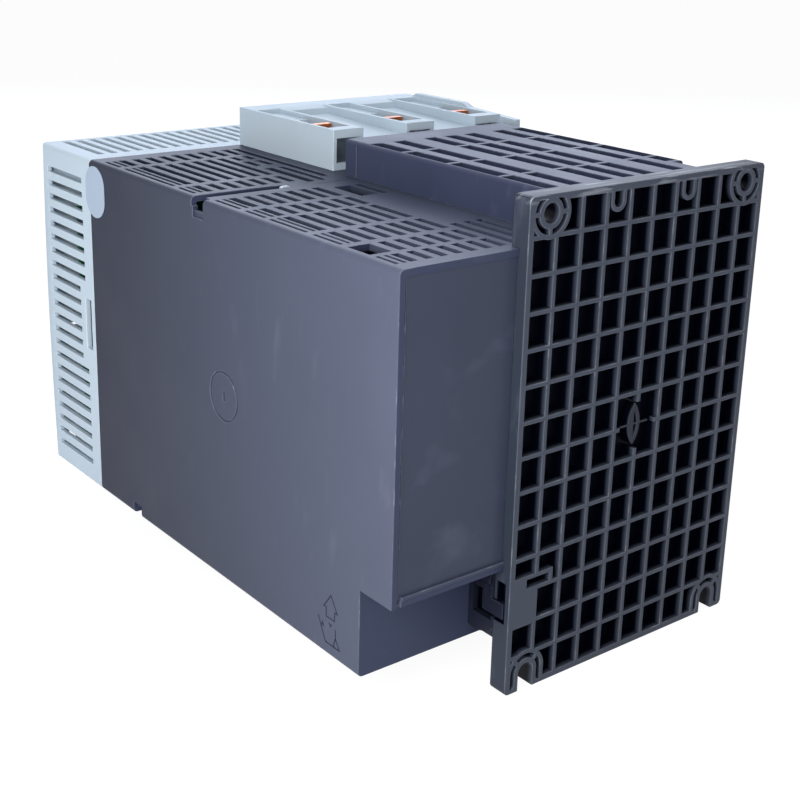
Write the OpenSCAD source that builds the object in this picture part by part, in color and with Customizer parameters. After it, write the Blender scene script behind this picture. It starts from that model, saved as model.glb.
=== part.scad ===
// Soft starter for a three-phase motor, on a ribbed mounting plate.
// X runs to the right seen from the front, Y to the back, Z up.
// The origin is the middle of the plate's lower edge, in the mounting plane.

/* [Mounting plate] */
// Width of the mounting plate
plate_w = 120; // [112:1:140]
// Height of the mounting plate
plate_h = 184; // [176:1:210]
// Thickness of the mounting plate
plate_t = 8; // [7:0.5:12]
// Skin left in front of the rib cells
plate_skin = 2; // [1.5:0.1:3]
// Outer rim around the rib cells
plate_rim = 2.5; // [2:0.1:4]
// Thickness of the ribs between the cells
rib_t = 1.7; // [1.2:0.1:2.4]
// Rib cells across the plate
cell_cols = 10; // [8:1:12]
// Rib cells up the plate
cell_rows = 14; // [10:1:16]
// Diameter of the fixing holes and width of the foot slots
fix_d = 7; // [5:0.1:8]
// Distance between the fixing holes
fix_pitch = 100; // [90:1:104]
// Upper fixing holes below the plate's upper edge
fix_drop = 6.5; // [6:0.1:9]
// Round end of the foot slots above the plate's lower edge
foot_slot_z = 7; // [5:0.1:10]
// Radius of the plate's corners
plate_corner_r = 2; // [1:0.5:4]

/* [Housing] */
// Width of the control section that stands out past the plate
side_w = 50; // [45:1:60]
// Room between the plate's lower edge and the housing
foot_room = 15; // [14:0.5:20]
// Room between the housing and the plate's upper edge
head_room = 18; // [17:0.5:24]
// Depth of the terminal chamber, from the air duct's front to the front cover's seam
chamber_depth = 83; // [76:1:100]
// Wall thickness of the housing and the cover
wall = 2.5; // [2:0.1:3]
// Radius of the housing's long edges on the control side
edge_r = 2; // [1.5:0.5:4]
// Rear rim of the control section, from the mounting plane
rim_depth = 4; // [3:0.5:5]
// Depth of the step under the control section's rear end
step_depth = 21.5; // [18:0.5:26]
// Height of that step above the plate's lower edge
step_z = 49; // [44:1:56]
// Underside of the housing's heel behind that step
heel_z = 20; // [18:0.5:24]
// Diameter of the knock-out on the control side
knockout_d = 20; // [16:1:24]

/* [Top grille] */
// Spacing of the long vent slots
vent_pitch = 6.3; // [5.5:0.1:8]
// Width of a vent slot
vent_w = 3.2; // [2:0.1:3.6]
// Width of the two narrow slots beside the edge
vent_narrow_w = 1.5; // [0.8:0.1:1.7]
// First wide slot, from the control side's face
vent_inset = 11; // [10.5:0.5:14]
// Bar between two rows of slots
vent_bar = 4; // [3:0.1:5]

/* [Front cover] */
// Depth of the cover at its corners
cover_depth = 49; // [44:1:60]
// Bulge of the cover's front
cover_bulge = 4; // [2:0.5:6]
// Radius of the cover's upright front edges
cover_edge_r = 4; // [2:0.5:6]
// Height of a louvre
louvre_h = 2.5; // [1.4:0.1:2.8]
// Louvre rows on a side
louvre_rows = 22; // [10:1:22]
// Height of the upright slot beside the short louvres
clip_slot_h = 23; // [15:1:30]

/* [Air duct] */
// Outer width of the air duct
duct_w = 85.5; // [80:0.5:95]
// Duct's left wall, from the plate's left edge
duct_inset = 11; // [8:0.5:15]
// Depth of the duct from the mounting plane
duct_depth = 134; // [122:1:150]
// Height of the duct's hood above the housing
duct_h = 15; // [12:0.5:17]
// Depth of the fan and motor
fan_t = 25; // [20:1:32]
// Number of fan blades
blades = 7; // [5:1:9]
// Number of heat sink fins
fins = 14; // [8:1:18]

/* [Power terminals] */
// Terminal blocks' right end, from the duct's right wall
block_inset = 1; // [0.5:0.1:3]
// Terminal blocks' left end wall, beside the last tunnel
block_end = 3.4; // [2:0.1:5]
// Height of the upper block's end plate above the housing
block_h = 17; // [15:0.1:19]
// Length of the hood over the blocks' front ends
hood_len = 9; // [6:0.5:12]
// Drop from the tunnels' roofs to the lands between them
land_drop = 3.4; // [2:0.1:5]
// Rise of the upper block's outer end wall
end_rise = 1.8; // [0.5:0.1:3]
// Room between the tunnels' rear ends and the air duct
tunnel_room = 10; // [9:0.5:14]
// Outer width of a tunnel
tunnel_w = 15.3; // [14:0.1:18]
// Wall of a tunnel
tunnel_wall = 1.7; // [1.4:0.1:2.2]
// Diameter of the clamp screws
screw_d = 8; // [6:0.5:9]
// Travel of a clamp
clamp_travel = 6; // [3:0.5:6.5]
// Width of the copper bars
bar_w = 8; // [6:0.5:8]
// Thickness of the copper bars
bar_t = 3; // [2:0.1:4]

/* [Operator panel] */
// Width of the operator panel
panel_w = 80; // [76:1:100]
// Height of the operator panel
panel_h = 60; // [56:1:70]
// Width of the display window
window_w = 58; // [40:1:66]
// Height of the display window
window_h = 28; // [20:1:30]
// Width of a key
key_w = 12; // [8:0.5:14]
// Height of a key
key_h = 7; // [5:0.5:9]
// Spacing of the keys
key_pitch = 18; // [16.5:0.5:19]
// Travel of a key
key_travel = 1; // [0.5:0.1:1.4]

/* [Control terminals] */
// Width of the flap over the control terminals
flap_w = 60; // [56:1:62]
// Height of the flap
flap_h = 52; // [46:1:58]
// Diameter of the flap's pivots
pivot_d = 2.4; // [2:0.1:2.8]
// Poles of a terminal plug
poles = 10; // [6:1:10]
// Spacing of the poles
pole_pitch = 5.08; // [5:0.02:5.2]

/* [Fits] */
// Gap between parts that move past each other
slide_gap = 0.3; // [0.2:0.05:0.4]
// Radial clearance of a turning pin or screw
turn_gap = 0.05; // [0.02:0.01:0.1]

/* [Hidden] */
$fn = 64;
over = 1;
x_edge = plate_w / 2;
x_left = -x_edge;
x_right = x_edge + side_w;
x_mid = (x_left + x_right) / 2;
y_plate = -plate_t;
y_rim = -rim_depth;
y_step = -step_depth;
y_duct = -duct_depth;
y_seam = y_duct - chamber_depth;
y_front = y_seam - cover_depth;
y_apex = y_front - cover_bulge;
z_bot = foot_room;
z_top = plate_h - head_room;
z_mid = (z_bot + z_top) / 2;
body_h = z_top - z_bot;

cell_w = (plate_w - plate_rim) / cell_cols;
cell_h = (plate_h - plate_rim) / cell_rows;
fix_z = plate_h - fix_drop;
fix_boss_r = fix_d / 2 + 2;
fix_ring_r = fix_d / 2 + 5.5;
fix_head_r = fix_d / 2 + 3.5;
fix_reach = 22;
pad_x = x_edge - 13;
pad_h = 20;
pad_reach = 8;
lock_w = 6.5;
lock_h = 16.6;
lock_y = -1.6;

duct_x0 = x_left + duct_inset;
duct_x1 = duct_x0 + duct_w;
duct_xc = (duct_x0 + duct_x1) / 2;
sink_base = 10;
fan_size = duct_w - 2 * wall - 2 * slide_gap;
fan_y = (y_duct + sink_base + y_plate) / 2;
fan_z = z_bot + wall;
fan_bore_r = fan_size / 2 - 1.5;
hub_r = fan_size * 0.21;
shaft_r = 2;
blade_r = fan_bore_r - 1.2;
tray_z = 1;
sink_z0 = fan_z + fan_t + 2;
sink_z1 = z_top - wall - 2;

block_x0 = x_left;
block_x1 = duct_x1 - block_inset;
phase_pitch = (block_x1 - block_x0 - block_end - tunnel_w) / 2;
y_tunnel = y_duct - tunnel_room;
y_hood = y_seam + hood_len;
block_floor = 1.6;
block_roof = 1.6;
tunnel_in = tunnel_w - 2 * tunnel_wall;
cage_w = tunnel_in - 2 * slide_gap;
clamp_room = min(foot_room, block_h);
cage_h = clamp_room - block_floor - block_roof - 2 * slide_gap;
cage_wall = 3;
cage_side = 1.4;
cage_y1 = y_tunnel - 3.5;
cage_len = 32;
cage_y0 = cage_y1 - cage_len;
bar_y = cage_y1 - cage_wall - 11.5;
bar_depth = 38;
bar_foot = 10;
axis_h = block_floor + slide_gap + cage_h / 2;
screw_head_r = screw_d / 2 + 1;
screw_head_t = 4.7;
screw_tip = bar_y - bar_t - slide_gap;
screw_seat = cage_y0 - clamp_travel - slide_gap;
tunnel_y0 = screw_seat - screw_head_t - 2;
roof_y = cage_y1 - cage_wall;
y_open = bar_y - bar_t - 18;
lip_t = 2.6;
lip_h = 1.4;

module_t = 24;
module_pitch = (duct_w - 2 * wall) / 3;
module_w = module_pitch - 2;
module_z0 = sink_z0 + 8;
module_z1 = sink_z1 - 14;
y_module = y_duct - module_t;
y_board = bar_y - bar_t - 10.4;
board_t = 1.6;
post_r = 2.2;

panel_xc = x_mid;
flap_drop = 11;
front_gap = (body_h - panel_h - flap_h - flap_drop) / 2;
panel_zc = z_top - front_gap - panel_h / 2;
panel_y = y_apex + 0.6;
panel_t = 3;
panel_skirt = 2;
panel_depth = 9.4;
panel_fit = 0.2;
pocket_wall = 2;
window_t = 1.5;
window_lip = 2;
window_zc = panel_zc + panel_h / 2 - 10 - window_h / 2;
key_zc = panel_zc - panel_h / 2 + 8;
key_proud = 1.2;
key_flange = 1;
key_flange_t = 1.2;
lcd_t = 3;

flap_x1 = x_right - wall - 3.5;
flap_x0 = flap_x1 - flap_w;
flap_z0 = z_bot + flap_drop;
flap_z1 = flap_z0 + flap_h;
knuckle_r = 2;
knuckle_inset = 0.5;
pivot_len = 3;
control_y = y_seam - 20;
control_x0 = duct_x1 + 4;
control_z0 = z_bot + 17;
control_z1 = z_top - 24;
plug_d = 18;
plug_h = 14;
plug_x0 = (flap_x0 + flap_x1 - poles * pole_pitch) / 2;
plug_zs = [flap_z0 + 8, flap_z0 + 8 + plug_h + 8];

vent_front = 2.7;
louvre_front = 6.5;
louvre_rear = 8.4;
louvre_short = 13.7;
louvre_top = 10.5;
louvre_pitch = (body_h - louvre_top - 10.3) / (louvre_rows - 1);
cover_screw_r = 2;
cover_xs = [x_left + 8, x_right - 8];
cover_zs = [z_bot + 8, z_top - 14];
cover_boss = 9;
cover_pillar = 24;
cover_head_r = 3.8;

// window of the heel, its latch, and the plate's catch
latch_pin_r = 1;
latch_x = x_edge - 1.25;
latch_z = step_z - 6;
pad_z = latch_z - 17;
pad_slot = [pad_z + 15, pad_z + pad_h - rib_t];
latch_y0 = y_step + 2.5;
latch_y1 = y_plate - 1.2;
latch_room = 3;
slot_in = 1.8;
catch_y = [-6.2, -2.4];
catch_z = [latch_z - 14.5, latch_z - 6.5];
heel_r = 14;
heel_y = y_step + 3.5;

// Front surface of the cover is one large arc.
arc_r = (body_h * body_h / 4 + cover_bulge * cover_bulge) / (2 * cover_bulge);
arc_y = y_apex + arc_r;
function cover_face(z) = arc_y - sqrt(arc_r * arc_r - (z - z_mid) * (z - z_mid));
function phase_x(i) = block_x1 - tunnel_w / 2 - i * phase_pitch;
function module_x(i) = duct_xc + (1 - i) * module_pitch;
function vent_x(i) = x_right - vent_inset - i * vent_pitch;
function key_x(i) = panel_xc + (i - 1.5) * key_pitch;

flap_axis_z = flap_z1 - knuckle_r;
flap_axis_y = cover_face(flap_axis_z) + knuckle_r + knuckle_inset;

// Rows of the top grille, from the seam to the rear rim.
groove_y = y_duct + 2.5;
groove_w = 5.2;
vent_cols = floor((x_right - vent_inset - duct_x1 - 6) / vent_pitch);
function row(y0, len) = [y0, y0 + len];
row_a = row(y_seam + 8, 13);
row_b = row(row_a[1] + vent_bar, 40.5);
row_c = row(row_b[1] + vent_bar, groove_y - 4 - row_b[1] - vent_bar);
rear_y = [groove_y + groove_w + 5.8, y_plate - 2.5];
thin_bar = vent_bar - 1;
rear_part = (rear_y[1] - rear_y[0] - 3 * vent_bar - 2 * thin_bar) / 92;
row_d = row(rear_y[0], 17.3 * rear_part);
row_e = row(row_d[1] + vent_bar, 13 * rear_part);
row_f = row(row_e[1] + thin_bar, 22.8 * rear_part);
row_g = row(row_f[1] + vent_bar, 16.2 * rear_part);
row_h = row(row_g[1] + vent_bar, 12 * rear_part);
row_i = row(row_h[1] + thin_bar, 10.7 * rear_part);
front_rows = [row_a, row_b, row_c];
rear_rows = [row_d, row_e, row_f, row_g, row_h, row_i];
inner_rows = [
  row_a,
  row(row_b[0], 8),
  row(row_b[0] + 11, 11),
  row(row_b[0] + 28, groove_y - row_b[0] - 28)];
beside_duct = row(groove_y + groove_w + 9.3, 18.5);

dark = [0.30, 0.32, 0.39];
deep = [0.22, 0.24, 0.30];
pale = [0.74, 0.79, 0.82];
copper = [0.80, 0.47, 0.30];
steel = [0.45, 0.47, 0.49];
board = [0.08, 0.30, 0.20];
black = [0.10, 0.10, 0.11];
alu = [0.72, 0.73, 0.75];

// Box from two opposite corners.
module box(x, y, z) {
  translate([x[0], y[0], z[0]])
    cube([x[1] - x[0], y[1] - y[0], z[1] - z[0]]);
}

// Rounded rectangle made of squares and circles.
module rounded(x, y, r) {
  translate([x[0] + r, y[0]]) square([x[1] - x[0] - 2 * r, y[1] - y[0]]);
  translate([x[0], y[0] + r]) square([x[1] - x[0], y[1] - y[0] - 2 * r]);
  for (u = [x[0] + r, x[1] - r])
    for (v = [y[0] + r, y[1] - r])
      translate([u, v]) circle(r);
}

// Extrusions of a profile along each axis: X-Z, Y-Z and X-Y profiles.
module along_y(y) {
  translate([0, y[1], 0]) rotate([90, 0, 0]) linear_extrude(y[1] - y[0]) children();
}

module along_x(x) {
  translate([x[0], 0, 0]) rotate([90, 0, 90]) linear_extrude(x[1] - x[0]) children();
}

module along_z(z) {
  translate([0, 0, z[0]]) linear_extrude(z[1] - z[0]) children();
}

module rod_y(x, y, z, r) {
  translate([x, y[1], z]) rotate([90, 0, 0]) cylinder(h = y[1] - y[0], r = r);
}

module rod_x(x, y, z, r) {
  translate([x[0], y, z]) rotate([0, 90, 0]) cylinder(h = x[1] - x[0], r = r);
}

// Places a terminal piece, drawn outward from height 0, on the housing's top,
// or, turned over, on its underside.
module on_top() {
  translate([0, 0, z_top]) children();
}

module on_underside() {
  translate([0, 0, z_bot]) mirror([0, 0, 1]) children();
}

// Mounting plate

module cell_grid() {
  for (i = [0 : cell_cols - 1])
    for (j = [0 : cell_rows - 1]) {
      x = x_left + plate_rim / 2 + i * cell_w;
      z = plate_rim / 2 + j * cell_h;
      x0 = x + (i == 0 ? plate_rim : rib_t) / 2;
      x1 = x + cell_w - (i == cell_cols - 1 ? plate_rim : rib_t) / 2;
      z0 = z + (j == 0 ? plate_rim : rib_t) / 2;
      z1 = z + cell_h - (j == cell_rows - 1 ? plate_rim : rib_t) / 2;
      translate([x0, z0]) square([x1 - x0, z1 - z0]);
    }
}

// Solid corner around a fixing hole, and the four gaps between its tube and its ring.
module fix_corner() {
  circle(fix_ring_r);
  square([x_edge - fix_pitch / 2, fix_drop]);
}

module fix_gaps() {
  intersection() {
    difference() {
      circle(fix_ring_r - rib_t);
      circle(fix_boss_r);
      for (a = [0, 90])
        rotate(a) square([2 * fix_ring_r, rib_t], center = true);
    }
    translate([-fix_ring_r, -fix_ring_r])
      square([fix_ring_r + x_edge - fix_pitch / 2 - rib_t, fix_ring_r + fix_drop - rib_t]);
  }
}

module foot_slot(r, z0) {
  translate([0, foot_slot_z]) circle(r);
  translate([-r, z0]) square([2 * r, foot_slot_z - z0]);
}

module foot_boss() {
  difference() {
    foot_slot(fix_ring_r, 0);
    foot_slot(fix_ring_r - rib_t, -over);
  }
  foot_slot(fix_boss_r, 0);
  translate([0, foot_slot_z]) rotate(45) square([2 * fix_ring_r - rib_t, rib_t], center = true);
  translate([0, foot_slot_z]) rotate(135) square([2 * fix_ring_r - rib_t, rib_t], center = true);
  translate([-fix_ring_r, 0]) square([2 * fix_ring_r, rib_t]);
}

// Small open-topped guides beside the fixing holes.
module guide_rib() {
  r = 3.8;
  top = plate_h - 6;
  difference() {
    union() {
      translate([0, top]) circle(r);
      translate([-r, top]) square([2 * r, 6]);
    }
    translate([0, top]) circle(r - rib_t);
    translate([-r + rib_t, top]) square([2 * (r - rib_t), 6 + over]);
  }
}

module plate_outline() {
  rounded([x_left, x_edge], [0, plate_h], plate_corner_r);
}

// What stands to the full depth of the plate.
module plate_ribs() {
  intersection() {
    plate_outline();
    union() {
      difference() {
        plate_outline();
        cell_grid();
        for (s = [-1, 1])
          translate([s * fix_pitch / 2, 0]) foot_slot(fix_ring_r, 0);
        translate([0, plate_h / 2]) circle(lock_h / 2 + rib_t / 2);
      }
      for (s = [-1, 1]) {
        translate([s * fix_pitch / 2, fix_z]) mirror([s < 0 ? 1 : 0, 0]) fix_corner();
        translate([s * fix_pitch / 2, 0]) foot_boss();
        translate([s * 1.55 * cell_w, 0]) guide_rib();
      }
      translate([pad_x, pad_z]) square([x_edge - pad_x, pad_h]);
      // bent rib around the pad's slot
      translate([pad_x - pad_reach, pad_slot[1]]) square([pad_reach + over, rib_t]);
      translate([pad_x - pad_reach, pad_slot[0] - over]) square([rib_t, pad_h - 15 + over]);
    }
  }
}

// Turn-lock in the middle of the plate: a lens, hollow on its left, and a thin bar across it.
module lens(w, h) {
  r = (w * w + h * h) / (4 * w);
  intersection() {
    translate([r - w / 2, 0]) circle(r);
    translate([w / 2 - r, 0]) circle(r);
  }
}

module centre_lock() {
  translate([0, plate_h / 2]) {
    difference() {
      lens(lock_w, lock_h);
      intersection() {
        lens(lock_w - 2 * rib_t, lock_h - 4 * rib_t);
        translate([-lock_w, -lock_h / 2]) square([lock_w, lock_h]);
      }
    }
    square([lock_h - rib_t, rib_t / 2], center = true);
  }
}

module base_plate() {
  color(dark)
    difference() {
      union() {
        along_y([y_plate, y_plate + plate_skin]) plate_outline();
        along_y([y_plate, 0]) plate_ribs();
        along_y([y_plate, lock_y]) centre_lock();
      }
      for (s = [-1, 1]) {
        rod_y(s * fix_pitch / 2, [y_plate - over, over], fix_z, fix_d / 2);
        translate([s * fix_pitch / 2, 0, fix_z])
          along_y([y_plate + plate_skin, over]) mirror([s < 0 ? 1 : 0, 0]) fix_gaps();
        translate([s * fix_pitch / 2, 0, 0])
          along_y([y_plate - over, over]) foot_slot(fix_d / 2, -over);
      }
      box([x_edge - latch_room, x_edge + over], catch_y, [pad_z + 2.5, pad_z + pad_h - 2]);
      box([x_edge - slot_in, x_edge + over], [y_plate - over, catch_y[0] + over], catch_z);
      box([pad_x - pad_reach + rib_t, pad_x + 4.7], [y_plate + plate_skin, over], pad_slot);
    }
}

// Housing

// Section of the housing, with the control side's long edges rounded.
module housing_section(inset) {
  r = edge_r - min(inset, edge_r - 0.5);
  x = [x_left + inset, x_right - inset];
  z = [z_bot + inset, z_top - inset];
  translate([x[0], z[0]]) square([x[1] - x[0] - r, z[1] - z[0]]);
  translate([x[0], z[0] + r]) square([x[1] - x[0], z[1] - z[0] - 2 * r]);
  for (v = [z[0] + r, z[1] - r])
    translate([x[1] - r, v]) circle(r);
}

module vent_slot(x, y, w) {
  box([x - w / 2, x + w / 2], y, [z_top - wall - over, z_top + over]);
}

// The grille over the control section: wide slots in rows, and two narrow ones along the edge.
module top_vents() {
  for (r = concat(front_rows, rear_rows)) {
    for (x = [x_right - 4.2, x_right - 7.4])
      if (r != row_h)
        vent_slot(x, r, vent_narrow_w);
    for (i = [0 : vent_cols - 2])
      if (!(r == row_h && i < 1))
        vent_slot(vent_x(i), r, vent_w);
  }
  for (r = inner_rows)
    for (i = [vent_cols - 1, vent_cols])
      vent_slot(vent_x(i), r, vent_w);
  // beside the terminal block and the duct
  vent_slot(duct_x1 + 6.5, [inner_rows[0][0], groove_y - 6.5], vent_w);
  vent_slot(duct_x1 + 6.5, beside_duct, vent_w);
  vent_slot(duct_x1 + 14, beside_duct, 2.5 * vent_w);
  for (x = [vent_x(vent_cols - 1), vent_x(vent_cols), duct_x1 + 6.5])
    vent_slot(x, [row_g[1] - 4, row_i[1]], vent_w);
  box([x_right - 12.5, x_right - 3.6], [row_h[0], row_h[1]], [z_top - wall - over, z_top + over]);
}

// Air inlets in the underside of the control section.
module bottom_vents() {
  for (r = [row_a, row_b])
    for (i = [0 : vent_cols - 2])
      box([vent_x(i) - vent_w / 2, vent_x(i) + vent_w / 2], r, [z_bot - over, z_bot + wall + over]);
}

// Groove across the top with its notch in the side, and a scoop under the notch.
module top_groove() {
  box([x_right - 41.5, x_right + over], [groove_y, groove_y + groove_w],
    [z_top - wall - over, z_top + over]);
  box([x_right - wall - over, x_right + over], [groove_y + 1, groove_y + 8.6],
    [z_top - 5.2, z_top + over]);
  box([x_right - 0.8, x_right + over], [groove_y + 1, groove_y + 8.6], [z_top - 7.6, z_top - 5]);
}

module bottom_notch() {
  box([x_right - wall - over, x_right + over], [groove_y - 55, groove_y - 48],
    [z_bot - over, z_bot + 5.5]);
}

module knockout() {
  translate([x_right - 0.6, groove_y + 22, z_mid + 2])
    rotate([0, 90, 0]) {
      difference() {
        cylinder(h = 2, d = knockout_d);
        translate([0, 0, -over]) cylinder(h = 4, d = knockout_d - 1.4);
      }
      // slot for the screwdriver that breaks it out
      translate([-1.7, -0.6, 0]) cube([3.4, 1.2, 2]);
    }
}

module cover_pillars() {
  for (x = cover_xs)
    for (z = cover_zs)
      box([x > 0 ? x - cover_boss / 2 : x_left + wall / 2,
        x > 0 ? x_right - wall / 2 : x + cover_boss / 2],
          [y_seam, y_seam + cover_pillar], [z - cover_boss / 2, z + cover_boss / 2]);
}

// Ribs on the control section's walls that carry the control board.
module board_ribs() {
  for (z = [control_z0 + 8, control_z1 - 8]) {
    box([duct_x1 - wall / 2, control_x0 + 4], [control_y + board_t, y_seam + 30], [z - 4, z + 4]);
    box([x_right - wall - 4.5, x_right - wall], [control_y + board_t, y_seam + 30], [z - 4, z + 4]);
    box([x_right - wall - 4.5, x_right - wall / 2], [y_seam, y_seam + 30], [z - 4, z + 4]);
  }
}

module latch_pin() {
  rod_y(latch_x, [latch_y0 - over, latch_y1 + over], latch_z, latch_pin_r);
}

// Side view of the heel beside the duct, whose underside is an arc.
module heel_profile(inset) {
  intersection() {
    translate([y_step - wall, z_bot]) square([y_plate - y_step + wall, step_z + wall - z_bot]);
    union() {
      translate([heel_y, heel_z + heel_r]) circle(heel_r - inset);
      translate([y_step - wall, heel_z + heel_r]) square([y_plate - y_step + wall, body_h]);
    }
  }
}

module heel() {
  difference() {
    union() {
      along_x([duct_x1 - wall / 2, x_edge])
        difference() {
          heel_profile(0);
          heel_profile(wall);
        }
      along_x([x_edge - wall, x_edge]) heel_profile(0);
      box([duct_x1 - wall / 2, x_edge + over], [y_step - wall, y_step],
        [z_bot + wall / 2, heel_z + heel_r]);
    }
    box([x_edge - wall - over, x_edge + over], [latch_y0, latch_y1], [latch_z - 16, latch_z + 3]);
    box([x_edge - wall - over, x_edge + over], [latch_y1 - over, y_plate + over], catch_z);
  }
}

module housing_walls() {
  difference() {
    along_y([y_seam, y_rim]) housing_section(0);
    along_y([y_seam - over, y_rim + over]) housing_section(wall);
    box([x_left - over, x_edge], [y_plate, over], [0, plate_h]);
    box([x_edge, x_right + over], [y_step, over], [z_bot - over, step_z]);
    box([duct_x1, x_edge + over], [y_step, over], [z_bot - over, z_bot + wall + over]);
  }
}

module main_housing() {
  color(dark)
    difference() {
      union() {
        housing_walls();
        // step under the control section's rear end
        box([x_edge, x_right - wall / 2], [y_step - wall, y_step], [z_bot + wall / 2, step_z + wall]);
        box([x_edge, x_right - wall / 2], [y_step - wall, y_rim], [step_z, step_z + wall]);
        // walls of the air duct; the right one runs on to the seam
        box([duct_x0, duct_x0 + wall], [y_duct, y_plate], [z_bot + wall / 2, z_top - wall / 2]);
        box([duct_x1 - wall, duct_x1], [y_seam, y_plate], [z_bot + wall / 2, z_top - wall / 2]);
        heel();
        cover_pillars();
        board_ribs();
        latch_pin();
      }
      top_vents();
      bottom_vents();
      top_groove();
      bottom_notch();
      knockout();
      // gap beside the ledge under the rear panel, and the seam across the top
      box([x_right - wall - 1.5, x_right - wall], [y_rim - 3, y_rim + over],
        [step_z - over, step_z + wall + over]);
      box([duct_x1, x_edge - 5], [groove_y + groove_w - 0.4, groove_y + groove_w],
        [z_top - 0.4, z_top + over]);
      // duct outlet above and fan inlet below
      difference() {
        box([duct_x0 + wall, duct_x1 - wall], [y_duct + wall, y_plate - wall],
          [z_top - wall - over, z_top + over]);
        fix_pocket(wall, [z_top - wall - 2 * over, z_top + 2 * over]);
      }
      translate([duct_xc, fan_y, z_bot - over]) cylinder(h = wall + 2 * over, r = fan_bore_r);
      // passages of the copper bars
      for (i = [0 : 2])
        box([phase_x(i) - bar_w / 2 - 1, phase_x(i) + bar_w / 2 + 1], [bar_y - bar_t - 1, bar_y + 1],
            [z_bot - over, z_top + over]);
      for (x = cover_xs)
        for (z = cover_zs)
          rod_y(x, [y_seam - over, y_seam + cover_pillar - 3], z, cover_screw_r);
    }
}

module rear_panel() {
  color(deep)
    union() {
      box([x_edge, x_right - wall - 0.5], [y_rim - 2.4, y_rim - 0.6], [step_z + wall, z_top - wall]);
      box([x_edge, x_right - wall - 1.5], [y_rim - 1, y_rim + 0.6], [step_z + wall, step_z + wall + 1.2]);
    }
}

// Raised outlet of the air duct with its long slots.
module hood_slots() {
  pitch = 10.8;
  half = 3.1;
  part = (y_plate - y_duct) / 126;
  for (c = [-3.55, -2.48, -1, 0, 1, 2.48, 3.55])
    for (r = [[14.5, 34.5], [36.5, 61.5], [63.5, 90], [92, 117.5]])
      box([duct_xc + c * pitch - half, duct_xc + c * pitch + half],
          [y_duct + r[0] * part, y_duct + r[1] * part],
          [z_top + duct_h - wall - over, z_top + duct_h + over]);
}

// Recess in the duct's left rear corner that keeps the fixing screw clear.
module fix_pocket(grow, z) {
  box([duct_x0 - over, fix_head_r - fix_pitch / 2 + grow],
    [y_plate - fix_reach - grow, y_plate + over], z);
}

module hood_section(inset) {
  r = 1.6;
  top = z_top + duct_h - inset;
  x = [duct_x0 + inset, duct_x1 - inset];
  low = z_top - (inset > 0 ? over : 0);
  translate([x[0], low]) square([x[1] - x[0], top - r - low]);
  translate([x[0] + r, top - 2 * r]) square([x[1] - x[0] - 2 * r, 2 * r]);
  for (u = [x[0] + r, x[1] - r])
    translate([u, top - r]) circle(r);
}

module air_hood() {
  color(dark)
    difference() {
      along_y([y_duct, y_plate]) hood_section(0);
      difference() {
        along_y([y_duct + wall, y_plate - wall]) hood_section(wall);
        fix_pocket(wall, [z_top - 2 * over, z_top + duct_h]);
      }
      difference() {
        hood_slots();
        fix_pocket(wall, [z_top - over, z_top + duct_h + 2 * over]);
      }
      fix_pocket(0, [z_top - over, z_top + duct_h + over]);
      // seam down the side wall
      box([duct_x1 - 0.5, duct_x1 + over], [y_duct + 7.4, y_duct + 8],
        [z_top - over, z_top + duct_h - 1.6]);
    }
}

// Tray under the housing with the fan's finger guard.
module fan_tray() {
  color(dark)
    difference() {
      union() {
        difference() {
          box([duct_x0, duct_x1], [y_duct, y_plate], [tray_z, z_bot]);
          difference() {
            box([duct_x0 + wall, duct_x1 - wall], [y_duct + wall, y_plate - wall],
              [tray_z + wall, z_bot + over]);
            fix_pocket(wall, [tray_z, z_bot + 2 * over]);
          }
          fix_pocket(0, [tray_z - over, z_bot + over]);
          translate([duct_xc, fan_y, tray_z - over]) cylinder(h = wall + 2 * over, r = fan_bore_r);
        }
        for (k = [1 : 5])
          translate([duct_xc, fan_y, tray_z])
            difference() {
              cylinder(h = wall, r = k * fan_bore_r / 5.5);
              translate([0, 0, -over]) cylinder(h = wall + 2 * over, r = k * fan_bore_r / 5.5 - 1.4);
            }
        for (a = [0 : 45 : 135])
          translate([duct_xc, fan_y, tray_z + wall / 2])
            rotate(a) cube([2 * fan_bore_r + 1, 2, wall], center = true);
      }
    }
}

module fan_frame() {
  z1 = fan_z + fan_t;
  color(black)
    union() {
      difference() {
        box([duct_xc - fan_size / 2, duct_xc + fan_size / 2],
          [fan_y - fan_size / 2, fan_y + fan_size / 2], [fan_z, z1]);
        translate([duct_xc, fan_y, fan_z - over]) cylinder(h = fan_t + 2 * over, r = fan_bore_r);
        for (a = [45 : 90 : 315])
          translate([duct_xc, fan_y, fan_z - over])
            rotate(a) translate([fan_size * 0.63, 0, 0]) cylinder(h = fan_t + 2 * over, r = 2.2);
      }
      // motor plate on three struts, with the shaft
      translate([duct_xc, fan_y, z1 - 3]) cylinder(h = 3, r = hub_r);
      for (a = [30 : 120 : 270])
        translate([duct_xc, fan_y, z1 - 2.6])
          rotate(a) translate([hub_r - 1, -2, 0]) cube([fan_bore_r - hub_r + 1.8, 4, 2.2]);
      translate([duct_xc, fan_y, fan_z + 2]) cylinder(h = fan_t - 4, r = shaft_r);
    }
}

module blade(i) {
  h = fan_t - 8;
  rotate(i * 360 / blades)
    intersection() {
      translate([hub_r - 2, -20, 0]) cube([blade_r, 40, h]);
      translate([0, 0, h / 2])
        rotate([38, 0, 0])
          translate([hub_r - 2, -20, -0.8]) cube([blade_r, 40, 1.6]);
    }
}

module fan_rotor() {
  color(black)
    translate([duct_xc, fan_y, fan_z + 3])
      difference() {
        intersection() {
          union() {
            cylinder(h = fan_t - 7, r = hub_r);
            for (i = [0 : blades - 1]) blade(i);
          }
          cylinder(h = fan_t - 7, r = blade_r);
        }
        translate([0, 0, -over]) cylinder(h = fan_t, r = shaft_r + turn_gap);
      }
}

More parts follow.
